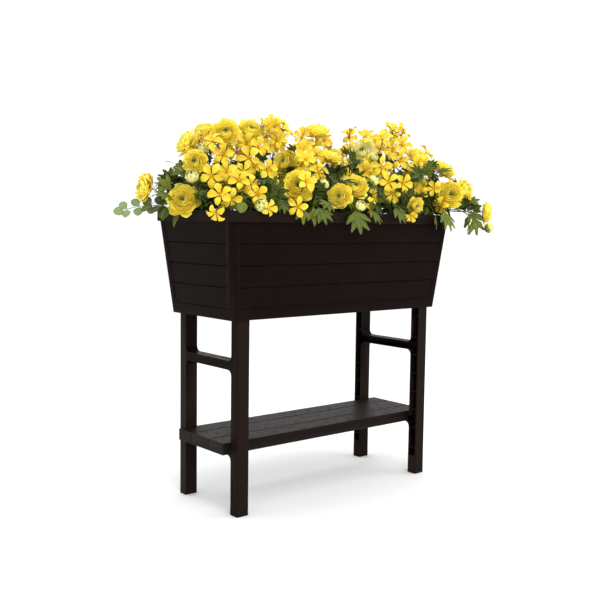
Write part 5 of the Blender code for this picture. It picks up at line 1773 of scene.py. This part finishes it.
@dataclass
class BlossomSpray:
    """A crown whose fine stems each end in a small five-petalled blossom."""

    name: str
    crown: tuple[float, float]
    blossoms: tuple[tuple[tuple[float, float, float], float, float, float], ...]
    stems: Stems
    routes: list[list[Vector]] = field(default_factory=list)
    side: list[tuple[tuple[float, float, float], float, float, float]] = field(default_factory=list)

    @property
    def owner(self) -> str:
        """Name of the node."""
        return "spray_" + self.name

    def set_out(self) -> None:
        """Routes the stems of its blossoms."""
        for centre, _, heading, tilt in self.blossoms:
            way = facing(heading, tilt)
            end = Vector(centre) - way * 0.004
            self.routes.append(self.stems.route(self.crown, end, way, self.owner, None))

    def build(self, palette: Palette) -> bpy.types.Object:
        """Builds the spray.

        Args:
            palette: All materials.

        Returns:
            The piece.
        """
        plant = PlantMesh()
        rng = draws(self.owner)
        looks = random.Random(self.owner + " looks")
        for (centre, radius, heading, tilt), route in zip(self.blossoms, self.routes):
            matrix = placed(Vector(centre), facing(heading, tilt), rng.uniform(0, 6.28))
            longs = [radius * PETAL_REACH * rng.uniform(0.92, 1.04) for _ in range(5)]
            self.add_blossom(plant, longs, matrix, palette, looks)
            plant.tube(route, 0.0011, palette.leaf, 0.85)
            self.add_leaves(plant, route, palette, looks)
        for centre, radius, heading, tilt in self.side:
            way = facing(heading, tilt)
            matrix = placed(Vector(centre), way, looks.uniform(0, 6.28))
            longs = [radius * PETAL_REACH * looks.uniform(0.88, 1.08)
                     for _ in range(looks.choice((5, 5, 6)))]
            self.add_blossom(plant, longs, matrix, palette, looks)
            start = self.nearest(Vector(centre) - way * 0.03 - Vector((0, 0, 0.03)))
            end = Vector(centre) - way * 0.004
            side_stem = arc_points(start, Vector((0, 0, 1)), end, way, 3, 0.4)
            plant.tube(side_stem, 0.0009, palette.leaf, 0.9, steps=3)
        x, y = self.crown
        level = soil_height(x, y)
        points = [Vector((x, y, level - 0.012)), Vector((x, y, level)), Vector((x, y, level + 0.009))]
        plant.tube(points, 0.0058, palette.leaf, 0.6, sides=4, age=0.7)
        return plant.finish(self.owner + "_blossoms", "blossom", self.owner)

    def nearest(self, point: Vector) -> Vector:
        """The joint of the spray's stems that is nearest to a point."""
        joints = [joint for route in self.routes for joint in route[1:-1]]
        return min(joints, key=lambda joint: (joint - point).length)

    def add_blossom(self, plant: PlantMesh, longs: Sequence[float], matrix: Matrix,
                    palette: Palette, looks: random.Random) -> None:
        """Adds a blossom with a petal for each length.

        Args:
            plant: Mesh of the spray.
            longs: Length of each petal.
            matrix: Place of the blossom.
            palette: All materials.
            looks: Draws for its form.
        """
        cup = looks.uniform(0.28, 0.52) if matrix.col[2].z > 0.85 else looks.uniform(0.0, 0.42)
        for k, long in enumerate(longs):
            angle = (k + 0.5) * 2 * math.pi / len(longs)
            plant.patch(6, 6, self.petal(angle, long, cup, matrix, looks), palette.blossom,
                        looks.random(), 0.0)
        self.add_centre(plant, sum(longs) / len(longs), matrix, palette, looks)

    @staticmethod
    def petal(angle: float, long: float, cup: float, matrix: Matrix,
              looks: random.Random) -> BladePlace:
        """Shape of one spoon-shaped petal.

        Args:
            angle: Its direction round the axis.
            long: Its length.
            cup: How far the blossom is still closed, 0 to 1.
            matrix: Place of the blossom.
            looks: Draws for its irregular form.

        Returns:
            The function from u and v to a point.
        """
        seed = Vector((looks.uniform(0, 90), looks.uniform(0, 90), 0))
        lift = looks.uniform(-0.14, 0.18) + cup
        lean = looks.uniform(-0.10, 0.10)
        wide = looks.uniform(0.48, 0.66)
        droop = looks.uniform(0.05, 0.34)

        def place(u: float, v: float) -> Vector:
            """The point at u along and v across."""
            wave = noise.noise(seed + Vector((v * 1.3, u * 1.1, 0)))
            reach, aside = rounded(u, v, 0.50)
            reach = 0.06 + 0.94 * reach * (1 + 0.05 * wave)
            half = wide / 2 * (0.16 + 0.84 * math.sin(min(1.0, u / 0.62) * math.pi / 2) ** 1.5)
            side = aside * half
            rise = 0.10 + 0.20 * math.sin(u * 2.6) + lift * u - droop * u * u
            rise += 1.5 * side * side + 0.16 * u * wave - 0.06 * (1 - abs(v)) ** 2 * math.sin(u * 3)
            inward = 1.0 - 0.30 * cup * u
            turned = angle + lean * u
            out = reach * inward
            return matrix @ (Vector((out * math.cos(turned) - side * math.sin(turned),
                                     out * math.sin(turned) + side * math.cos(turned),
                                     rise)) * long)

        return place

    @staticmethod
    def add_centre(plant: PlantMesh, radius: float, matrix: Matrix, palette: Palette,
                   looks: random.Random) -> None:
        """Adds the orange stamens and the green cup under the petals."""
        for k in range(7):
            angle = k * GOLDEN_ANGLE
            spot = Vector((math.cos(angle), math.sin(angle), 0)) * radius * 0.035 * math.sqrt(k)
            spot.z = radius * looks.uniform(0.20, 0.28)
            plant.ball(matrix @ spot, radius * 0.035, palette.blossom, 0.5)
        points = [matrix @ Vector((0, 0, -0.005)), matrix @ Vector((0, 0, 0.0005)),
                  matrix @ Vector((0, 0, radius * 0.14))]
        plant.tube(points, 0.0019, palette.leaf, 1.2, sides=3, steps=2)
        for k in range(5):
            angle = (k + 0.5) * 2 * math.pi / 5
            plant.patch(3, 2, DoubleBloom.sepal(angle, radius * 0.55, matrix @ Matrix.Translation(
                (0, 0, BLOOM_BACK * 0.45))), palette.leaf, 0.4, 0.3)

    def add_leaves(self, plant: PlantMesh, route: Sequence[Vector], palette: Palette,
                   looks: random.Random) -> None:
        """Adds a few narrow leaves to a fine stem."""
        for share in (0.30, 0.45, 0.60, 0.75):
            index = min(int(share * (len(route) - 1)), len(route) - 2)
            joint = route[index].lerp(route[index + 1], share * (len(route) - 1) - index)
            for _ in range(4):
                way = facing(looks.uniform(0, 360), looks.uniform(35, 80))
                length = looks.uniform(0.020, 0.034)
                tips = (joint + way * length * part for part in (0.4, 1.0))
                if all(self.stems.free(tip, 0.002) and LeafyPlant.inside(tip) for tip in tips):
                    leaf = Leaf(joint, way, length, LeafKind.LONG, looks.uniform(-0.5, 0.5))
                    leaf.add(plant, palette.leaf, looks, looks.uniform(0.2, 0.8), (5, 2))
                    break


@dataclass
class TrailingSprig:
    """A stem with paired round leaves that hangs over the left end of the trough."""

    leaf_length: float = 0.026

    def build(self, palette: Palette) -> bpy.types.Object:
        """Builds the sprig.

        Args:
            palette: All materials.

        Returns:
            The piece.
        """
        plant = PlantMesh()
        looks = random.Random("sprig looks")
        points = [crown_point(SPRIG_CROWN)] + [Vector(point) for point in SPRIG_ROUTE]
        plant.tube(points, 0.0016, palette.sprig, 0.5)
        for index in range(2, len(points)):
            way = (points[index] - points[index - 1]).normalized()
            joint = points[index].lerp(points[index - 1], 0.25)
            for side in (-1, 1):
                across = way.cross(Vector((0, 0, 1))).normalized() * side
                aim = (across * 0.5 + way * 0.4 + Vector((0, 0, 0.55 * side))).normalized()
                self.add_leaf(plant, joint, aim, palette, looks, 1.25 - 0.25 * index)
        way = (points[-1] - points[-2]).normalized()
        self.add_leaf(plant, points[-1], way, palette, looks, 0.1)
        return plant.finish("sprig_left_leaves", "sprig", "sprig_left")

    def add_leaf(self, plant: PlantMesh, joint: Vector, aim: Vector, palette: Palette,
                 looks: random.Random, age: float) -> None:
        """Adds one round leaf on its short stalk.

        Args:
            plant: Mesh of the sprig.
            joint: Where the stalk starts.
            aim: Direction of the leaf.
            palette: All materials.
            looks: Draws for its size and turn.
            age: 0 for young and light, 1 for old and dark.
        """
        outlook = Vector((-0.4, -0.7, 0.5))
        leaf = Leaf(joint + aim * 0.004, aim, self.leaf_length * looks.uniform(0.85, 1.1),
                    LeafKind.ROUND, looks.uniform(-0.4, 0.4), outlook)
        plant.tube([joint, leaf.at(0.08, 0, 0.01)], 0.0007, palette.sprig, 0.9, steps=1)
        leaf.add(plant, palette.sprig, looks, age, (7, 6))


@dataclass
class Studio:
    """Floor, soft light and the photograph's camera."""

    camera_place: tuple[float, float, float] = (-1.6008, -1.8814, 0.7338)
    azimuth: float = -39.78
    elevation: float = 4.961
    roll: float = 0.743
    lens: float = 53.11
    key_strength: float = 40.0
    world_strength: float = 1.08

    def build(self) -> None:
        """Builds the whole studio."""
        self.add_floor()
        self.add_lights()
        self.add_camera()
        view = bpy.context.scene.view_settings
        view.view_transform = "Standard"
        view.look = "None"

    def add_floor(self) -> None:
        """A wide pale floor under the feet."""
        bm = bmesh.new()
        bmesh.ops.create_grid(bm, x_segments=1, y_segments=1, size=14.0,
                              matrix=Matrix.Translation((0, 0, -0.0004)))
        mesh = bpy.data.meshes.new("floor")
        bm.to_mesh(mesh)
        bm.free()
        mesh.materials.append(FloorFinish("pale_floor", 0.9).material())
        floor = bpy.data.objects.new("floor", mesh)
        bpy.context.scene.collection.objects.link(floor)

    def add_lights(self) -> None:
        """A white surround and three soft area lights."""
        world = bpy.data.worlds.new("studio_air")
        world.use_nodes = True
        background = world.node_tree.nodes["Background"]
        background.inputs["Color"].default_value = (1.0, 1.0, 1.0, 1.0)
        background.inputs["Strength"].default_value = self.world_strength
        bpy.context.scene.world = world
        for name, place, size, power in (
                ("key_light", (-0.9, -2.5, 2.6), 1.6, self.key_strength),
                ("fill_light", (2.4, -1.6, 1.8), 2.0, self.key_strength * 0.45),
                ("top_light", (0.2, 0.6, 3.0), 2.2, self.key_strength * 0.55)):
            light = bpy.data.lights.new(name, "AREA")
            light.size = size
            light.energy = power
            lamp = bpy.data.objects.new(name, light)
            lamp.location = place
            aim = Vector((0, 0, 0.7)) - Vector(place)
            lamp.rotation_euler = aim.to_track_quat("-Z", "Y").to_euler()
            bpy.context.scene.collection.objects.link(lamp)

    def add_camera(self) -> None:
        """The camera at the photograph's place, angle and roll."""
        a, e, r = (math.radians(x) for x in (self.azimuth, self.elevation, self.roll))
        look = Vector((-math.sin(a) * math.cos(e), math.cos(a) * math.cos(e), -math.sin(e)))
        right = look.cross(Vector((0, 0, 1))).normalized()
        up = right.cross(look)
        x_axis = right * math.cos(r) + up * math.sin(r)
        y_axis = up * math.cos(r) - right * math.sin(r)
        data = bpy.data.cameras.new("photo_camera")
        data.sensor_width = 36.0
        data.lens = self.lens
        data.clip_start = 0.05
        data.clip_end = 100.0
        camera = bpy.data.objects.new("photo_camera", data)
        turn = Matrix((x_axis, y_axis, -look)).transposed().to_4x4()
        camera.matrix_world = Matrix.Translation(self.camera_place) @ turn
        bpy.context.scene.collection.objects.link(camera)
        bpy.context.scene.camera = camera


def main() -> None:
    """Builds every sub-assembly in order."""
    logging.basicConfig(level=logging.INFO, format="%(message)s")
    palette = Palette()
    for moulding in (ResinMoulding("planter_box", "resin"),
                     ResinMoulding("end_frame_left", "resin"),
                     ResinMoulding("end_frame_right", "resin")):
        moulding.build(palette.resin)
    ResinMoulding("shelf", "shelf_resin").build(palette.shelf)
    SoilFill().build(palette)

    stems = Stems()
    sprays = [BlossomSpray(name, crown, blossoms, stems) for name, crown, blossoms in SPRAYS]
    plants = [LeafyPlant(plan, stems) for plan in LEAFY]
    for grown in sprays + plants:
        grown.set_out()
    for blossom in SIDE_BLOSSOMS:
        centre = Vector(blossom[0])
        host = min(sprays, key=lambda spray: (spray.nearest(centre) - centre).length)
        host.side.append(blossom)
    for grown in sprays + plants:
        grown.build(palette)
    for spot in BLOOMS:
        DoubleBloom(spot).build(palette)
    TrailingSprig().build(palette)
    Studio().build()


if __name__ == "__main__":
    main()
